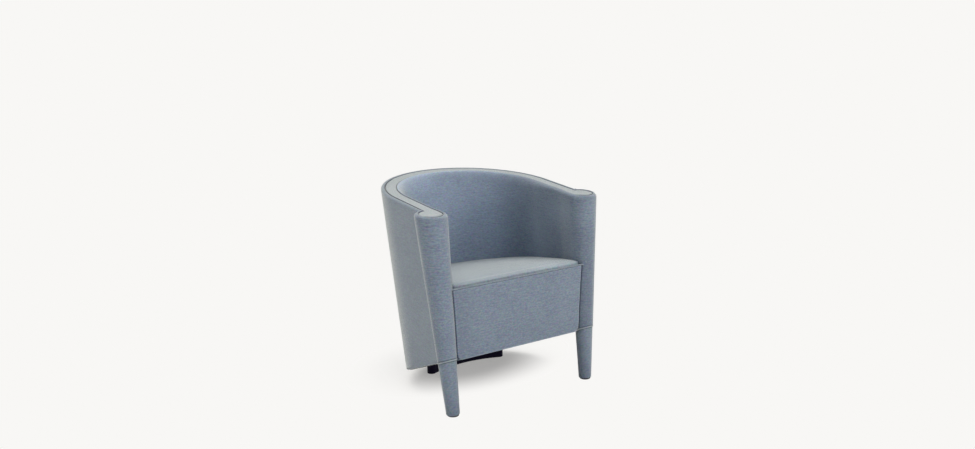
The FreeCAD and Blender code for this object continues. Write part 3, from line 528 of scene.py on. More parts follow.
def mark(thing, label, values):
    """Write one value for each point, which the finish reads under the same label."""
    layer = thing.data.attributes.new(label, "FLOAT", "POINT")
    layer.data.foreach_set("value", values.astype(float).ravel())


def surface(name, points, cloth, wrap=False, **marks):
    """Faces between neighbouring grid points; with wrap, the last column meets the first.

    points has the shape rows, columns, 3, and cloth gives two map values for each point.
    The marks seam and nap give one value for each point, or for each row.
    """
    rows, columns = points.shape[:2]
    across = columns + 1 if wrap else columns
    thing = add_mesh(name, points, quads(
        np.arange(rows)[:, None] * columns + np.arange(across) % columns))
    own = np.arange(rows * across).reshape(rows, across)
    lay_cloth(thing, cloth.reshape(-1, 2)[quads(own).ravel()])
    for label, values in marks.items():
        mark(thing, label, np.broadcast_to(values, (rows, columns)))
    return thing


def run(points, axis):
    """Distance travelled along one direction of a grid, starting at 0."""
    total = np.cumsum(np.linalg.norm(np.diff(points, axis=axis), axis=-1), axis=axis)
    start = np.zeros_like(np.take(total, [0], axis=axis))
    return np.concatenate([start, total], axis=axis)


def dress(thing, material, nodes=(), merge=False, thick=0.0):
    """Give a piece its finish and its body, and hide the solids that it stands for."""
    if merge:
        work = bmesh.new()
        work.from_mesh(thing.data)
        bmesh.ops.remove_doubles(work, verts=work.verts, dist=1e-6)
        bmesh.ops.dissolve_degenerate(work, dist=1e-7, edges=work.edges)
        work.to_mesh(thing.data)
        work.free()
        thing.data.update()
    thing.data.materials.append(material)
    if thick:
        wall = thing.modifiers.new("cloth_thickness", "SOLIDIFY")
        wall.thickness = thick
        wall.offset = -1.0
    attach(thing, "root")
    if nodes:
        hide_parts(*nodes)
    print("%-22s %6d faces" % (thing.name, len(thing.data.polygons)))


# %% [markdown]
# ## The outside cover
# One broad piece of cloth goes round the outside of the shell, over its wadding. It turns
# under at the hem, and at the top it rolls over a soft edge and dives into the seam beside
# the facing. Each end is tucked in behind a column. The surface is one profile, from hem to
# seam, carried round the back: the columns of the grid are the places round the chair, and
# the rows are the steps of the profile, given as a share of the wall's height, a drop and an
# inset. As the wall leans, a point's height depends on where it ends up, so the two are
# found together by asking for them in turn until they agree.


# %% Steps of a profile
def bend(share, tall, wide, degrees):
    """Profile steps round a quarter of an ellipse, at some share of the wall."""
    return [(share, tall * math.sin(a), wide * (1 - math.cos(a))) for a in np.radians(degrees)]


def in_the_seam(steps):
    """Painted shade by how deep in the seam each step lies: only the last six are in it."""
    return np.concatenate([np.zeros(steps - 6), [0.35, 0.8, 1.0, 1.0, 1.0, 1.0]])[:, None]


def settle(height, place):
    """Heights at which a leaning line meets a sloping one, by repeated substitution.

    place gives y for an array of heights, and height gives the wanted z for those y.
    """
    z = height(place(np.full_like(place(0.4), 0.4)))
    for _ in range(12):
        z = height(place(z))
    return z


def cloth_map(points, level_row, top_row):
    """Distance round the chair on one row, and height, then distance over the top."""
    climbed = run(points, 0)
    over = np.maximum(climbed - climbed[top_row], 0)
    return stack(run(points, 1)[level_row], points[..., 2] + over)


# %% [markdown]
# Behind each column the cloth sinks into a crease. The pull is strongest at the column and
# has gone 10 mm from it, and the rolled top sinks with it. This shape is only a matter of
# distance to the column, so it is added to the finished grid.

# %% Outside cover
HEM_ROUND, LIP_ROUND = 0.010, 0.008
TUCKED_IN = 0.0030
CREASE_WIDTH, CREASE_PULL, CREASE_SINK = 0.010, 0.0038, 0.0060
leg = np.linspace(0.0, 1.0, 30)[:-1] ** 1.6
kind = np.repeat([-1, 0, 1], [len(leg), 121, len(leg)])
share = np.concatenate([leg, np.linspace(math.pi, 0.0, 121), leg[::-1]])
hem = [(0.0, 0.0004 - HEM_ROUND, 0.024 - 0.0033 * i) for i in range(5)]
hem += bend(0.0, -HEM_ROUND, HEM_ROUND, np.arange(90, -1, -10))
wall = [(a, 0.0, 0.0) for a in np.linspace(0.0, 1.0, 64)[1:]]
lip = bend(1.0, LIP_ROUND, LIP_ROUND, np.arange(10, 91, 10))
lip += [(1.0, LIP_ROUND - drop, inset) for drop, inset in (
    (0.0001, 0.0100), (0.0004, 0.0120), (0.0012, 0.0134), (0.0026, 0.0144),
    (0.0046, 0.0151), (0.0068, 0.0155), (0.0090, 0.0157))]
profile = np.array(hem + wall + lip)


def outside_points(kind, share, profile):
    """The wall between hem and rim, moved inwards by the inset of each profile step.

    Left leg, arc and right leg share one rule: half width and arc centre at that height.
    """
    rise, extra, inset = profile.T[:, :, None]

    def across(z):
        half, centre = outer_face(z)
        half = half - inset
        out, back, radius = column(z)
        front = back + np.sqrt(np.maximum(radius ** 2 - (half - out) ** 2, 0.0))
        leg_y = front - TUCKED_IN + (centre - front + TUCKED_IN) * share
        x = np.where(kind == 0, half * np.cos(share), kind * half)
        y = np.where(kind == 0, centre + half * np.sin(share), leg_y)
        return x, y, np.where(kind == 0, 1.0, y - front)

    def level(y):
        low = hem_height(y) + HEM_ROUND
        return low + (rim_height(y) - LIP_ROUND - low) * rise + extra

    z = settle(level, lambda z: across(z)[1] + 0 * rise)
    x, y, from_column = across(z)
    crease = bump(from_column, CREASE_WIDTH)
    z = z - CREASE_SINK * crease * ease(extra / LIP_ROUND)
    x = x - np.sign(x) * CREASE_PULL * crease
    return stack(x, y, z), from_column


points, from_column = outside_points(kind[None, :], share[None, :], profile)
cloth = cloth_map(points, 40, len(hem) + len(wall) - 1)
# Painted shade: dark in the crease behind each column above the ring, and in the seam beside
# the facing.
by_column = 0.8 * ease(1.4 - from_column / 0.0040) * (points[..., 2] > RING_HEIGHT)
seam = np.maximum(in_the_seam(len(profile)), by_column)
outside = surface("outside_cloth", points[:, ::-1], cloth[:, ::-1], seam=seam[:, ::-1])
dress(outside, blue_grey, ["outside_cover", "outer_wadding", "outer_rim_roll"],
      thick=0.0012)

# %% [markdown]
# ## The inside cover and the columns
# No seam shows between a column and the inside of the tub, so one cloth makes them all:
# it starts in the crease behind the left column, goes round its front, bridges the hollow
# corner to the inner wall, runs round the back and ends behind the right column. At the
# top it rolls over into the seam round the facing. One rule gives the line at any level,
# moved into the cover by two insets, and the seat will ask the same rule for its outline.


# %% Lines of the inside, level by level
BRIDGE = 0.085
INWARD, QUARTER = math.radians(270.0), math.pi / 2
CREASE = math.radians(2.66)


def inside_line(z, part, step, inset_column, inset_wall):
    """x and y of the right half of the inside at heights z.

    part 0 goes round the column by angle, part 1 along the leg by share, part 2 round the
    back by angle. The cover bridges from the column's side to the wall over a set length.
    """
    out, back, radius = column(z)
    half, centre = inner_face(z)
    ring, wall_x = radius - inset_column, half + inset_wall
    side, leg_y = out - ring, back + (centre - back) * step
    leg_x = side + (wall_x - side) * ease((leg_y - back) / BRIDGE)
    x = np.where(part == 0, out + ring * np.sin(step),
                 np.where(part == 1, leg_x, wall_x * np.sin(step)))
    y = np.where(part == 0, back + ring * np.cos(step),
                 np.where(part == 1, leg_y, centre + wall_x * np.cos(step)))
    return x, y


first = np.radians([-8, -2.5, 2.66, 4, 6, 8.5, 11, 14, 17, 20, 24, 28, 32])
step = [first, np.linspace(math.radians(37), INWARD, 48), np.linspace(0, 1, 34)[1:],
        np.linspace(QUARTER, 0, 62)[1:]]
part = np.repeat([0, 0, 1, 2], [len(piece) for piece in step])[None, :]
step = np.concatenate(step)[None, :]
print(part.size, "steps from the crease to the middle of the back")

# %% [markdown]
# The roll at the top is a quarter of an ellipse. It is tight round the column head and
# taller along the inner wall. The lower edge changes height on its way: it follows the
# ring on the column and lies below the seat inside. The change happens behind the front
# panel, where no one looks.


# %% Points of the inside cover
DECK, ABOVE_RING = 0.305, 0.0022
ROLL_AT_COLUMN, ROLL_GROWS, HEAD_DIP = 0.011, 0.021, 0.0015


def tub_points(rise, extra, inset):
    """Profile steps between the lower edge and the rim, moved over to the seam line.

    extra counts in units of the roll's height, and what goes past 1 sinks in metres.
    """

    def level(y):
        on_column = part == 0
        from_column = np.where(on_column, 0.0, ease((y + 0.272) / 0.05))
        at_wall = np.where(on_column, 0.0, ease((y + 0.13) / 0.20))
        roll = ROLL_AT_COLUMN + ROLL_GROWS * at_wall
        at_ring = ring_level(y) + ABOVE_RING
        low = np.where(part == 2, DECK, at_ring + (DECK - at_ring) * from_column)
        sunk = np.where(extra > 1.0, extra - 1.0, 0.0)
        dip = HEAD_DIP * on_column * ease((HEAD_FRONT - y) / 0.03)
        top = rim_height(y) - roll - dip
        return low + (top - low) * rise + roll * np.minimum(extra, 1.0) - sunk

    def place(z):
        x, y = inside_line(z, part, step, 0.0, 0.0)
        seam_x, seam_y = inside_line(z, part, step, HEAD_ROLL, INNER_ROLL)
        return x + (seam_x - x) * inset, y + (seam_y - y) * inset

    z = settle(level, lambda z: place(z)[1] + 0 * rise)
    x, y = place(z)
    return x, y, z


heights = np.concatenate([[0.0, 0.004, 0.010], np.linspace(0.02, 1.0, 62)])
profile = [(a, 0.0, 0.0) for a in heights] + bend(1.0, 1.0, 0.80, np.arange(9, 91, 9))
profile = np.array(profile + [(1.0, 1.0 + drop, inset) for drop, inset in (
    (0.0004, 0.865), (0.0012, 0.915), (0.0026, 0.955), (0.0046, 0.98), (0.0068, 1.0),
    (0.0090, 1.01))])
rise, extra, inset = profile.T[:, :, None]
x, y, z = tub_points(rise, extra, inset)
MEAN_RADIUS, START_SINK = 0.045, 0.0050
start_gap = np.where(part == 0, (step - CREASE) * MEAN_RADIUS, 1.0)
z = z - START_SINK * bump(start_gap, 0.006) * ease(extra)
half = stack(x, y, z)
points = np.concatenate([half, half[:, -2::-1] * [-1, 1, 1]], axis=1)
start_gap = np.concatenate([start_gap, start_gap[:, -2::-1]], axis=1)
print("grid of", points.shape[0], "by", points.shape[1])

# %% [markdown]
# The foam inside the back is fullest just under the rim, so the wall swells a little there
# and the swelling fades down the back. Then come the marks. The seams, the ends behind the
# columns and the cloth that turns in behind the front panel are painted dark: painted shade.
# On the left and at the top of the back the cloth is painted paler, as painted light, and
# low down on the right and inside the right arm it is painted darker, as painted shade.
# The lamps that would give this aren't known, so it was fitted as smooth functions of place.

# %% Inside cover
BULGE, SOFT_TOP, FADES_OVER = 0.0095, 0.070, 0.20
below = np.maximum(rim_height(points[..., 1]) - points[..., 2], 0)
on_wall = extra <= 1.0
fullness = BULGE * np.sqrt(1 - (1 - np.clip(below / SOFT_TOP, 0, 1)) ** 2) * on_wall
fullness = fullness * (1 - ease((below - SOFT_TOP) / FADES_OVER))
inward = (np.array([0.0, 0.02, 0.0]) - points) * [1, 1, 0]
inward /= np.linalg.norm(inward, axis=-1, keepdims=True)
inside_wall = ease((points[..., 1] + 0.19) / 0.15)
points = points + inward * (fullness * inside_wall)[..., None]
cloth = cloth_map(points, 45, len(heights) - 1)

x, y, z = np.moveaxis(points, -1, 0)
# Painted shade along the lower edge, behind the front panel and at the ends behind the
# columns.
low_edge = ease(1.5 - (z - ring_level(y) - ABOVE_RING) / 0.0022)
inner_side = (np.abs(x) < column(z)[0]) & (z < PANEL_TOP) & (y < -0.2)
behind_panel = ease((y - PANEL_PLANE) / 0.0045) * inner_side
in_tub = ease((y + 0.10) / 0.20) * on_wall
# Painted light on the left and at the top of the back; painted shade low down on the right and
# inside the right arm.
nap_ends = 0.15 + 0.03 * (1 - ease(below / 0.15))
nap = 0.58 * (1 - ease((x - nap_ends) / 0.11)) * (1 - 0.78 * ease((below - 0.09) / 0.26))
nap = nap + 0.30 * (1 - ease((below - 0.02) / 0.06)) * (1 - ease((x + 0.06) / 0.06))
low_right = 0.34 * in_tub * ease((x - 0.18) / 0.07) * ease((below - 0.02) / 0.22)
arm = 0.36 * ease((x - 0.20) / 0.03) * ease((0.02 - y) / 0.20) * ease((below - 0.06) / 0.12)
arm = arm * (1 - 0.5 * ease((-0.22 - y) / 0.04)) * (1 - ease((x - column(z)[0]) / 0.03))
seam = in_the_seam(len(profile))
for shade in (0.6 * ease(1.4 - start_gap / 0.0040), 0.8 * low_edge, 0.8 * behind_panel,
              low_right, arm):
    seam = np.maximum(seam, shade)
tub = surface("tub_cloth", points, cloth, seam=seam, nap=in_tub * nap)
dress(tub, blue_grey,
      ["inside_cover", "inner_rim_roll", "left_column_cover", "right_column_cover",
       "left_head_roll", "right_head_roll"], thick=0.0012)

# %% [markdown]
# ## The facing
# A flat strip closes the rim and widens to a round head over each column. Its outline is
# known, so the strip is a grid between its inner and its outer edge. What gives it depth
# is the seam: close to the outline the cloth turns down, by an amount that depends only
# on the distance to that outline, so the notch behind each head gets its seam as well.
# Both edges go on straight down into the groove, so that nothing shows through beside them.


# %% Edges of the facing
def facing_edges():
    """Inner and outer edge of the right half, from the tip of the head to the back."""
    out, back, radius = column(ARM_HEIGHT)
    ring = radius - HEAD_ROLL
    half, centre = inner_face(ARM_HEIGHT)
    outer_half, outer_centre = outer_face(ARM_HEIGHT)
    strip = outer_half - OUTER_ROLL
    turn = np.linspace(math.pi, math.asin((strip - out) / ring), 46)
    head_y = back + ring * np.cos(turn)
    leg_y = np.linspace(head_y[-1], outer_centre, 44)[1:]
    outer = [stack(out + ring * np.sin(turn), head_y), stack(strip, leg_y)]
    inner_y = np.concatenate([head_y, np.linspace(head_y[-1], centre, 44)[1:]])
    side, wall_x = out - ring, half + INNER_ROLL
    circle = out - np.sqrt(np.maximum(ring ** 2 - (inner_y - back) ** 2, 0))
    bridge = side + (wall_x - side) * ease((inner_y - back) / BRIDGE)
    inner = [stack(np.where(inner_y < back, circle, bridge), inner_y)]
    angle = np.linspace(QUARTER, 0, 74)[1:]
    zs = rim_height(0.30 * np.cos(angle))
    for edge, face, inset in ((outer, outer_face, -OUTER_ROLL),
                              (inner, inner_face, INNER_ROLL)):
        wide, middle = face(zs)
        arc = wide + inset
        edge.append(stack(arc * np.sin(angle), middle + arc * np.cos(angle)))
    return (np.concatenate(inner), np.concatenate(outer))


def nearest(points, line):
    """Distance from each point to a line of many short pieces, in blocks to save memory."""
    flat = points.reshape(-1, 2)
    start, step = line[:-1], line[1:] - line[:-1]
    size = np.maximum((step ** 2).sum(-1), 1e-12)
    best = []
    for block in np.array_split(flat, 40):
        gap = block[:, None] - start[None]
        share = np.clip((gap * step[None]).sum(-1) / size, 0, 1)
        best.append(np.linalg.norm(gap - share[..., None] * step[None], axis=-1).min(1))
    return np.concatenate(best).reshape(points.shape[:-1])


inner, outer = (np.concatenate([edge, edge[-2::-1] * [-1, 1]]) for edge in facing_edges())
widths = np.linalg.norm(outer - inner, axis=1)
print("facing is", round(float(widths[len(widths) // 2]), 4), "wide at the back")

# %% Facing
GROOVE = 0.0050
SEAM_WIDTH, SEAM_DEPTH, CROWN = 0.0024, 0.0064, 0.0018
STRIP_WIDTH = 0.037
share = 0.5 - 0.5 * np.cos(np.linspace(0, math.pi, 25))
flat = inner[None] + (outer - inner)[None] * share[:, None, None]
gap = nearest(flat, np.concatenate([inner, outer[::-1]]))
crown = CROWN * ease((HEAD_FRONT - flat[..., 1]) / 0.02)
sink = 0.0004 + SEAM_DEPTH * bump(gap, SEAM_WIDTH) - crown * ease(gap / 0.006)
z = rim_height(flat[..., 1]) - sink
points = raised(flat, z)
cloth = stack(run(points, 1)[12], share[:, None] * STRIP_WIDTH)
# Painted shade: nearly black close to the outline, in the groove.
seam = ease(1.5 - gap / 0.0019)
down = np.array([0.0, 0.0, GROOVE])
points = np.concatenate([points[:1] - down, points, points[-1:] - down])
cloth = np.concatenate([cloth[:1] - down[1:], cloth, cloth[-1:] + down[1:]])
seam = np.concatenate([seam[:1], seam, seam[-1:]])
facing = surface("rim_facing_cloth", points[::-1], cloth[::-1], seam=seam[::-1])
dress(facing, facing_wool_painted_lit, ["rim_facing"], merge=True, thick=0.0012)

# %% [markdown]
# ## Cords and rings
# A cord covered in the same wool lies in the crease behind each column, and a finer one
# makes the ring between column and leg. The ring carries the slope of the hem on through
# the column. A tube along a path is again a grid: the circle of its section stands square
# to the path at each point.


# %% Tubes along a path
def tube(name, path, radius, sides=12, closed=False):
    """Circles of a given radius along a path, each square to the path's direction."""
    if closed:
        ahead = np.roll(path, -1, axis=0) - np.roll(path, 1, axis=0)
    else:
        ahead = np.gradient(path, axis=0)
    ahead /= np.linalg.norm(ahead, axis=1, keepdims=True)
    side = np.cross(ahead, [0.13, -0.31, 0.94])
    side /= np.linalg.norm(side, axis=1, keepdims=True)
    turn = np.linspace(0, 2 * math.pi, sides, endpoint=False)[None, :, None]
    ring = side[:, None] * np.cos(turn) + np.cross(ahead, side)[:, None] * np.sin(turn)
    points = path[:, None] + ring * radius
    if closed:
        points = np.concatenate([points, points[:1]])
        path = np.concatenate([path, path[:1]])
    distance = run(path[None], 1)[0]
    print("%-18s %.3f m long" % (name, distance[-1]))
    girth = np.linspace(0, 2 * math.pi, sides + 1) * radius
    return surface(name, points, stack(girth, distance[:, None]), wrap=True)


# %% Cords and rings
CORD, RING, RING_PROUD = 0.0024, 0.0023, 0.0004
CORD_LOW, CORD_TOP, CORD_OUT, CORD_BEND, CORD_Y = 0.185, 0.651, 0.0021, 0.0085, -0.182


def column_cord():
    """Path in the crease between outer face and column, over the roll and into the seam."""
    z = np.linspace(CORD_LOW, CORD_TOP, 70)
    out, back, radius = column(z)
    x = outer_face(z)[0] + CORD_OUT
    y = back + np.sqrt((radius + CORD_OUT) ** 2 - (x - out) ** 2)
    top_x, top_y, rim = x[-1], y[-1], rim_height(CORD_Y)
    turn = np.radians(np.linspace(12, 90, 10))
    over = stack(top_x - CORD_BEND * (1 - np.cos(turn)), top_y + 0.0004,
                 rim - 0.0088 + CORD_BEND * np.sin(turn))
    end = [[top_x - 0.0125, top_y - 0.001, rim - 0.0015],
           [top_x - 0.0150, top_y - 0.002, rim - 0.006]]
    return np.concatenate([stack(x, y, z), over, end])


def ring_path():
    """The line where the ring's sloping plane cuts a column, moved outwards a little."""
    turn = np.linspace(0, 2 * math.pi, 72, endpoint=False)

    def place(z):
        out, back, radius = column(z)
        ring = radius + RING_PROUD
        return out + ring * np.sin(turn), back + ring * np.cos(turn)

    z = settle(ring_level, lambda z: place(z)[1])
    return stack(*place(z), z)


for name, side in (("left", -1), ("right", 1)):
    cord = tube(name + "_cord", column_cord() * [side, 1, 1], CORD)
    dress(cord, facing_wool_painted_lit, [name + "_column_welt"])
    ring = tube(name + "_ring", ring_path() * [side, 1, 1], RING, closed=True)
    dress(ring, facing_wool_painted_lit, [name + "_ring_welt"])

# %% [markdown]
# ## Leg sleeves
# Below the ring the same cloth is drawn tightly over the tapered leg and turned under at
# the glide. The sleeve is a profile of radius and height turned about the raking axis, and
# stretched near its top so that it ends in the ring's sloping plane.


# %% Leg sleeves
SLEEVE_TOP = 0.1805
GLIDE_RADIUS, TOP_RADIUS, MAP_RADIUS = 0.021, 0.0295, 0.026
UNDER_RING, CLEAR_OF_FLOOR, TURNED_IN = 0.0016, 0.0033, 0.0050


def sleeve(side):
    """Radius against distance along the axis, turned about the axis."""
    axis = np.array(Vector((side * SPLAY, RAKE, ARM_HEIGHT)).normalized())
    low = np.array([side * FOOT_OUT, FOOT_LINE, 0.0])
    length = SLEEVE_TOP / axis[2]
    along = np.concatenate([[0.0062, 0.0046, 0.0040, 0.0042, 0.0052, 0.0068],
                            np.linspace(0.010, length, 40)])
    tuck = np.concatenate([[0.0035, 0.0030, 0.0018, 0.0008, 0.0002, 0.0], np.zeros(40)])
    radius = GLIDE_RADIUS + (TOP_RADIUS - GLIDE_RADIUS) * along / length - tuck
    radius = radius - 0.0012 * bump(length - along, 0.004)
    radius = radius + 0.0003 * bump(np.abs(along - 0.0085), 0.004)
    radius[0] -= TURNED_IN
    first = np.cross(axis, [0, 1, 0])
    first /= np.linalg.norm(first)
    second = np.cross(axis, first)
    turn = np.linspace(0, 2 * math.pi, 73)
    ring = np.cos(turn[:-1])[:, None] * first + np.sin(turn[:-1])[:, None] * second
    rim = low + TOP_RADIUS * ring
    above = RING_HEIGHT - UNDER_RING - TAIL_SLOPE * (rim[:, 1] - RING_LINE) - rim[:, 2]
    reach = above / (axis[2] + TAIL_SLOPE * axis[1]) / length
    share = 1 + (reach - 1)[None, :] * ease(along / length)[:, None]
    climb = (along[:, None] * share)[..., None] * axis
    points = low + climb + radius[:, None, None] * ring[None]
    points[..., 2] = np.maximum(points[..., 2], CLEAR_OF_FLOOR)
    cloth = stack(turn * MAP_RADIUS, along[:, None])
    # The third value is painted shade: nearly black just under the ring.
    return points, cloth, 0.9 * ease(1.5 - (length - along) / 0.0022)[:, None]


for name, side in (("left", -1), ("right", 1)):
    points, cloth, seam = sleeve(side)
    leg = surface(name + "_leg_cloth", points[:, ::-1], cloth[:, ::-1], wrap=True, seam=seam)
    dress(leg, blue_grey, [name + "_leg_sleeve"], thick=0.001)

# %% [markdown]
# ## The seat
# The seat is a cushion that fills the tub from the front panel to the back. Its edge lies
# in a slope, high at the front and low at the back, and turns down into the crease all
# round. The outline comes from the same line as the inside cover, and its two front corners
# are rounded. A four-sided patch fills it: each point is a blend of the four sides, less
# the blend of the four corners, which counts them twice.


# %% Seat outline
SEAT_FRONT, SEAT_FLOOR, SEAT_LEVEL = -0.2830, 0.3065, 0.405
SEAT_GAP = 0.0008
CORNER_ACROSS, CORNER_BACK = 0.036, 0.010
REAR_SHARE = 0.70


def pick(line, at):
    """Points at given shares of a line's length."""
    gone = run(line[None], 1)[0]
    return stack(*(np.interp(at * gone[-1], gone, values) for values in line.T))


def graded(count, edge):
    """Shares from 0 to 1 with smaller steps near both ends: edge is the first step."""
    t = np.linspace(0, 1, count)
    return t - 0.5 * (1 - edge * count) * np.sin(2 * math.pi * t) / math.pi * 0.98


pieces = (np.linspace(math.radians(200), INWARD, 600), np.linspace(0, 1, 300)[1:],
          np.linspace(QUARTER, 0, 400)[1:])
part = np.repeat([0, 1, 2], [len(piece) for piece in pieces])
x, y = inside_line(SEAT_LEVEL, part, np.concatenate(pieces), -SEAT_GAP, -SEAT_GAP)
right_side = stack(x, y)[(part > 0) | (y > SEAT_FRONT + CORNER_BACK)]
gone = run(right_side[None], 1)[0]
flank = right_side[gone <= REAR_SHARE * gone[-1]]
rear = right_side[gone >= REAR_SHARE * gone[-1]]
shares = graded(97, 0.003)
front_x = flank[0, 0] * (2 * shares - 1)
rounding = np.clip((np.abs(front_x) - flank[0, 0]) / CORNER_ACROSS + 1, 0, 1)
front_y = SEAT_FRONT + (flank[0, 1] - SEAT_FRONT) * (1 - np.sqrt(1 - rounding ** 2))
front_edge = stack(front_x, front_y)
back_edge = pick(np.concatenate([rear * [-1, 1], rear[::-1][1:]]), shares)
right_edge = pick(flank, shares)
left_edge = right_edge * [-1, 1]
s, t = shares[None, :, None], shares[:, None, None]
patch = ((1 - t) * front_edge[None] + t * back_edge[None]
         + (1 - s) * left_edge[:, None] + s * right_edge[:, None])
patch = patch - (1 - s) * (1 - t) * front_edge[0] - s * (1 - t) * front_edge[-1]
patch = patch - (1 - s) * t * back_edge[0] - s * t * back_edge[-1]
print("seat is", round(2 * flank[0, 0], 4), "wide in front and",
      round(rear[-1, 1] - SEAT_FRONT, 4), "deep")

# %% [markdown]
# The height of the top adds up simple parts: the slope of the edge, rounded at the
# front, the turn-down along the walls and along the front, and small puckers where the
# cloth is gathered behind the piping.


# %% Height of the seat
EDGE_HEIGHT, EDGE_SLOPE = 0.4345, 0.166
BENDS_AT, BEND_SOFT = -0.258, 0.02
NOSE_FROM, NOSE_LONG, NOSE_DROP = -0.260, 0.0255, 0.0070
PUCKER, PUCKER_WAVE, DOME = 0.0005, 0.021, 0.007


def slope(y):
    """Height of the seat along its edge: falls evenly to the back, rounded at the front."""
    behind = 0.5 * (y - BENDS_AT + np.sqrt((y - BENDS_AT) ** 2 + BEND_SOFT ** 2))
    nose = np.maximum(NOSE_FROM - y, 0) / NOSE_LONG
    return EDGE_HEIGHT - EDGE_SLOPE * behind - NOSE_DROP * nose ** 2


def turned_down(gap, radius):
    """A quarter circle: the full radius at the edge and nothing a radius away."""
    share = np.clip(gap / radius, 0, 1)
    return radius * (1 - np.sqrt(np.maximum(1 - (1 - share) ** 2, 0)))


from_wall = nearest(patch, np.concatenate([right_side * [-1, 1], right_side[::-1]]))
from_front = nearest(patch, front_edge)
x = patch[..., 0]
pucker = 0.5 + 0.5 * np.sin(2 * math.pi * x / PUCKER_WAVE + 1.4 * np.sin(41 * x)
                            + 0.9 * np.sin(97 * x + 1))
gather = PUCKER * pucker * np.exp(-np.maximum(from_front - 0.002, 0) / 0.008)
edge = turned_down(from_wall, 0.007) + turned_down(from_front, 0.002)
dome = DOME * ease(from_wall / 0.15) * ease(from_front / 0.10)
top = slope(patch[..., 1]) - edge - gather
print("seat top from", round(float(top.min()), 4), "to", round(float((top + dome).max()), 4))

# %% [markdown]
# The cushion is one closed mesh: the patch on top, a skirt down its outline, and the same
# patch as a floor. Real stuffing swells the cloth between the places where it is held. To
# get that swell, Blender's cloth simulation blows the cushion up a little while the skirt
# and the edges stay pinned, and the lift that it finds is scaled to a few millimetres.


# %% Closed cushion and its swell
def closed_cushion(name, patch, top, floor, skirt):
    """Top patch, skirt rings and floor patch joined into one closed mesh with its map."""
    count = patch.shape[0]
    order = np.arange(count * count).reshape(count, count)
    loop = np.concatenate([order[0, :-1], order[:-1, -1], order[-1, :0:-1], order[:0:-1, 0]])
    upper, lower = (raised(patch, z).reshape(-1, 3) for z in (top, floor))
    rings = [upper[loop] + (lower[loop] - upper[loop]) * share for share in skirt]
    points = np.concatenate([upper] + rings + [lower])
    ring_start = count * count
    lower_start = ring_start + len(rings) * len(loop)
    lines = [ring_start + i * len(loop) + np.arange(len(loop)) for i in range(len(rings))]
    lines = [loop] + lines + [lower_start + loop]
    faces = [quads(order), lower_start + quads(order)[:, ::-1]]
    for one, two in zip(lines[:-1], lines[1:]):
        faces.append(stack(one, two, np.roll(two, -1), np.roll(one, -1)))
    faces = np.concatenate(faces)
    thing = add_mesh(name, points, faces)
    lay_cloth(thing, points[faces.ravel(), :2])
    return thing


def places_of(mesh):
    """The points of a mesh as an array with three columns."""
    flat = np.empty(len(mesh.vertices) * 3)
    mesh.vertices.foreach_get("co", flat)
    return flat.reshape(-1, 3)


FRAMES = 20


def swell(thing, held):
    """Lift in z that an inner pressure gives each point which isn't held."""
    trial = thing.copy()
    trial.data = thing.data.copy()
    scene = bpy.context.scene
    scene.collection.objects.link(trial)
    pins = trial.vertex_groups.new(name="pins")
    pins.add(np.nonzero(held)[0].tolist(), 1.0, "REPLACE")
    cloth = trial.modifiers.new("cloth", "CLOTH")
    for label, value in (
            ("quality", 6), ("mass", 0.4), ("tension_stiffness", 15),
            ("compression_stiffness", 15), ("bending_stiffness", 2.0),
            ("use_pressure", True), ("uniform_pressure_force", 4.0),
            ("vertex_group_mass", "pins")):
        setattr(cloth.settings, label, value)
    cloth.settings.effector_weights.gravity = 0.0
    cloth.point_cache.frame_start = 1
    cloth.point_cache.frame_end = FRAMES
    for number in range(1, FRAMES + 1):
        scene.frame_set(number)
    after = trial.evaluated_get(bpy.context.evaluated_depsgraph_get()).to_mesh()
    lift = places_of(after) - places_of(trial.data)
    scene.frame_set(1)
    bpy.data.objects.remove(trial)
    return lift[:, 2]


# %% Seat cushion
SWELL = 0.008
HELD_WITHIN = 0.006
seat = closed_cushion("seat_cushion", patch, top, SEAT_FLOOR, (0.04, 0.1, 0.2, 0.4, 0.7))
held = np.ones(len(seat.data.vertices), dtype=bool)
held[:dome.size] = np.minimum(from_wall, from_front).ravel() < HELD_WITHIN
lift = np.clip(swell(seat, held)[:dome.size], 0, 0.03)
lift = lift * SWELL / max(float(np.percentile(lift, 98)), 1e-6)
print("swell scaled to", round(float(lift.max()) * 1000, 1), "mm at most")
place = places_of(seat.data)
place[:lift.size, 2] += lift.ravel()
seat.data.vertices.foreach_set("co", place.ravel())
# Painted light: the seat is painted paler towards the right.
mark(seat, "nap", 0.22 * ease((place[:, 0] + 0.02) / 0.24))
seat.data.update()
dress(seat, seat_wool_painted_lit, ["seat_cover", "seat_foam"])

# %% [markdown]
# ## The front panel
# Below the seat is a thin pad on a rail, with rounded lower corners. It is a shallow
# pillow: rings shrink from its outline to its middle, and the edge turns back like a
# quarter circle. Behind the pillow the backing isn't rounded and reaches into the columns,
# so that nothing behind it shows. The backing and the panel's sides are painted dark, so
# the narrow gap beside the panel is dark: painted shade. The left end is painted a little
# darker, as painted shade, and the rounded edge a little paler, as a painted highlight.


# %% Outline of the panel
PANEL_BACK, BOARD_FRONT, BOARD_BACK = -0.286, -0.2832, -0.2822
CORNER_WIDE, CORNER_TALL = 0.018, 0.030
BESIDE, WIDEST, BOARD_MORE = 0.0036, 0.2675, 0.0048


def panel_side(z):
    """Half width at which the panel meets the column, at a height above the ring."""
    out, back, radius = column(np.maximum(z, RING_HEIGHT))
    free = np.sqrt(np.maximum((radius + BESIDE) ** 2 - (PANEL_BACK - back) ** 2, 0.0))
    return np.minimum(out - free, WIDEST)


def evenly(line, count):
    """A closed outline walked at equal steps."""
    line = np.concatenate([line, line[:1]])
    return pick(line, np.linspace(0, 1, count, endpoint=False))


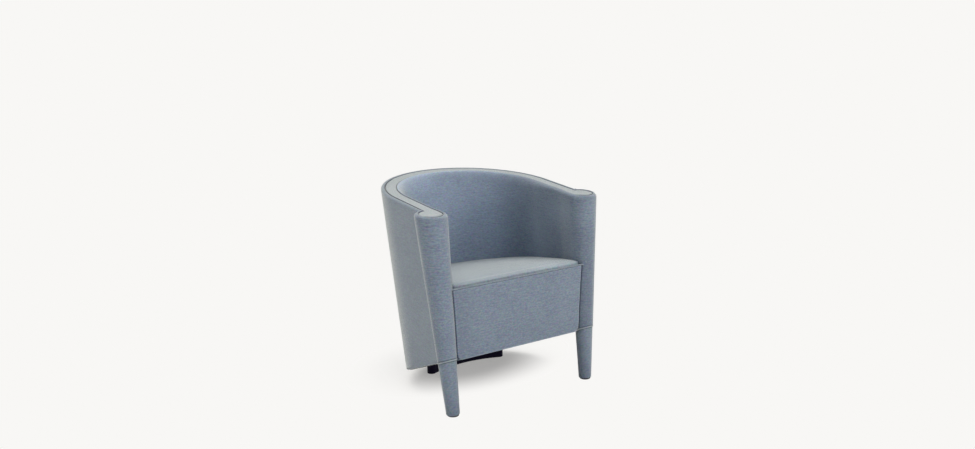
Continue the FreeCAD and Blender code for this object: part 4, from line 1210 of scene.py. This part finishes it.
def shrinking(outline, middle, gone):
    """Rings that shrink from a closed outline by given shares, and their distance to it."""
    flat = middle + (outline - middle)[None] * (1.0 - gone)[:, None, None]
    return flat, nearest(flat, np.concatenate([outline, outline[:1]]))


z = np.linspace(PANEL_BOTTOM, PANEL_TOP, 400)
corner = np.clip(1 - (z - PANEL_BOTTOM) / CORNER_TALL, 0, 1)
rounded = panel_side(z) - CORNER_WIDE * (1 - np.sqrt(1 - corner ** 2))
right = stack(rounded, z)
outline = evenly(np.concatenate([right, right[::-1] * [-1, 1]]), 300)
x, z = outline.T
on_side = (z > PANEL_BOTTOM + 0.0001) & (z < PANEL_TOP - 0.0001)
board_x = np.where(on_side, np.sign(x) * (panel_side(z) + BOARD_MORE), x)
print("panel is", round(2 * x.max(), 4), "wide and", round(float(np.ptp(z)), 4), "high")

# %% Front panel
PUFF, PANEL_EDGE = 0.0022, 0.005
middle = np.array([0.0, 0.5 * (PANEL_TOP + PANEL_BOTTOM)])
gone = np.concatenate([[0, 0.004, 0.009, 0.016, 0.025, 0.036, 0.05],
                       np.linspace(0.07, 0.99, 22)])
flat, gap = shrinking(outline, middle, gone)
y = PANEL_PLANE - 0.0002 - PUFF * ease(gap / 0.09) + turned_down(gap, PANEL_EDGE)
front = stack(flat[..., 0], y, flat[..., 1])
rear = np.stack([stack(board_x, plane, z) for plane in (BOARD_BACK, BOARD_FRONT)])
closing, tip = (np.tile([middle[0], plane, middle[1]], (1, 300, 1))
                for plane in (BOARD_BACK, PANEL_PLANE - 0.0024))
points = np.concatenate([closing, rear, front, tip])
cloth = points[..., [0, 2]]
cloth = np.concatenate([cloth, cloth[:, :1]], axis=1)
# Painted shade on the backing rows, the sides and the left end, and a painted highlight on the
# rounded edge.
by_side = 0.8 * ease(1.5 - gap / 0.0010) * (flat[..., 1] > PANEL_BOTTOM + 0.003)
left_part = 0.16 * (1 - ease((flat[..., 0] + 0.26) / 0.12))
painted_edge_highlight = 0.30 * bump(gap - 0.0035, 0.0030)
none = np.zeros((1, 300))
seam = np.concatenate([np.full((3, 300), 0.8), np.maximum(by_side, left_part), none])
nap = np.concatenate([none, none, none, painted_edge_highlight, none])
panel = surface("front_panel_cloth", points[:, ::-1], cloth[:, ::-1], wrap=True,
                seam=seam[:, ::-1], nap=nap[:, ::-1])
dress(panel, blue_grey, ["front_panel", "front_panel_pad"], merge=True)

# %% [markdown]
# ## The piping
# A covered cord is sewn between the seat and the top of the panel. It is the same tube as
# before on a straight path. A hand-sewn cord never lies quite straight, so two waves of a
# few tenths of a millimetre move it up and down.

# %% Piping
PIPING_END, PIPING_HEIGHT = 0.2665, 0.4212
x = np.linspace(-PIPING_END, PIPING_END, 180)
wander = 0.0003 * np.sin(x * 160) + 0.0002 * np.sin(x * 390 + 1)
path = stack(x, PANEL_PLANE + 0.0018, PIPING_HEIGHT + wander)
piping = tube("seat_piping_cord", path, 0.0023, sides=14)
dress(piping, seat_wool_painted_lit, ["seat_piping"])

# %% [markdown]
# ## Under the chair
# A thin black cloth closes the underside. It is stretched from the front rail down the
# slope to the level part at the back, and stapled to the edge all round. Its outline is
# the shell's, moved in by a margin, with a bay round each column. The same shrinking rings
# as in the panel fill it, and its middle hangs by about two millimetres.


# %% Outline of the dust cloth
MARGIN, DUST_FRONT = 0.0125, -0.2815


def dust_outline():
    """Right half of the outline in plan, from the middle of the front to the back."""
    out, back, radius = column(hem_height(-0.26))
    ring = radius + 0.004
    turn = np.linspace(math.radians(200), math.radians(360), 500)
    turn = turn[back + ring * np.cos(turn) > DUST_FRONT]
    x0, y0 = out + ring * np.sin(turn), back + ring * np.cos(turn)
    half, centre = outer_face(hem_height(0.0))
    wide = half - MARGIN
    y1 = np.linspace(y0[-1], centre, 200)[1:]
    x1 = x0[-1] + (wide - x0[-1]) * ease((y1 - y0[-1]) / 0.1)
    angle = np.linspace(QUARTER, 0, 300)[1:]
    half, centre = outer_face(TAIL_HEIGHT)
    last = half - MARGIN
    x2 = last * np.sin(angle) + (wide - last) * np.sin(angle) ** 8
    y2 = centre + last * np.cos(angle)
    right = stack(np.concatenate([x0, x1, x2]), np.concatenate([y0, y1, y2]))
    return np.concatenate([[[0.0, DUST_FRONT]], right])


right_half = dust_outline()
outline = evenly(np.concatenate([right_half, right_half[-2:0:-1] * [-1, 1]]), 280)
print("outline of", len(outline), "places,", round(float(np.ptp(outline[:, 1])), 4), "deep")

# %% Dust cloth
gone = np.concatenate([[0, 0.008, 0.02, 0.04], np.linspace(0.07, 0.985, 30)])
flat, gap = shrinking(outline, np.array([0.0, 0.0]), gone)
slack = 0.0022 * ease(gap / 0.10) * ease((TAIL_START - flat[..., 1]) / 0.06)
z = hem_height(flat[..., 1]) - 0.0010 + 0.0008 * ease((flat[..., 1] - 0.02) / 0.05) - slack
tip = np.tile([0.0, 0.0, float(hem_height(0.0)) - 0.0032], (1, 280, 1))
points = np.concatenate([raised(flat, z), tip])
cloth = np.concatenate([points[..., :2], points[:, :1, :2]], axis=1)
dust = surface("dust_cloth", points, cloth, wrap=True)
dress(dust, finishes["dust_cloth"], ["dust_cover"], merge=True, thick=0.0004)

# %% [markdown]
# Each staple is a bent wire: a bar with two short legs that go into the wood. One shape
# of a few faces is set along the margin, turned to the edge each time, and arrays make
# all of them at once.


# %% Staples
def staples(name, places, along, normal, half=0.005, wire=0.0005):
    """Square wires bent to a bar with two legs: a path of four points, four times over."""
    side = np.cross(along, normal)
    rows = []
    for shift, lift in ((-half, -0.003), (-half, 0.0006), (half, 0.0006), (half, -0.003)):
        middle = places + along * shift + normal * lift
        slant = along * math.copysign(wire, shift) + normal * (0.5 * wire * (lift > 0))
        rows.append(np.stack([middle + slant * a + side * (wire * b)
                              for a, b in ((-1, -1), (1, -1), (1, 1), (-1, 1))], axis=1))
    one = [[r * 4 + c, r * 4 + (c + 1) % 4, (r + 1) * 4 + (c + 1) % 4, (r + 1) * 4 + c]
           for r in range(3) for c in range(4)] + [[3, 2, 1, 0], [12, 13, 14, 15]]
    faces = np.arange(len(places))[:, None, None] * 16 + np.array(one)[None]
    return add_mesh(name, np.stack(rows, axis=1), faces.reshape(-1, 4), smooth=False)


ring = evenly(outline, 76)
ahead = np.roll(ring, -1, axis=0) - np.roll(ring, 1, axis=0)
inner = ring * 0.975
tilt = np.where(inner[:, 1] < TAIL_START, -TAIL_SLOPE, 0.0)
places = raised(inner, hem_height(inner[:, 1]) - 0.0012)
along = raised(ahead, ahead[:, 1] * tilt)
along /= np.linalg.norm(along, axis=1, keepdims=True)
normal = stack(0.0, tilt, -1.0)
normal /= np.linalg.norm(normal, axis=1, keepdims=True)
fixing = staples("dust_cloth_staples", places, along, normal)
dress(fixing, finishes["screw_steel"])
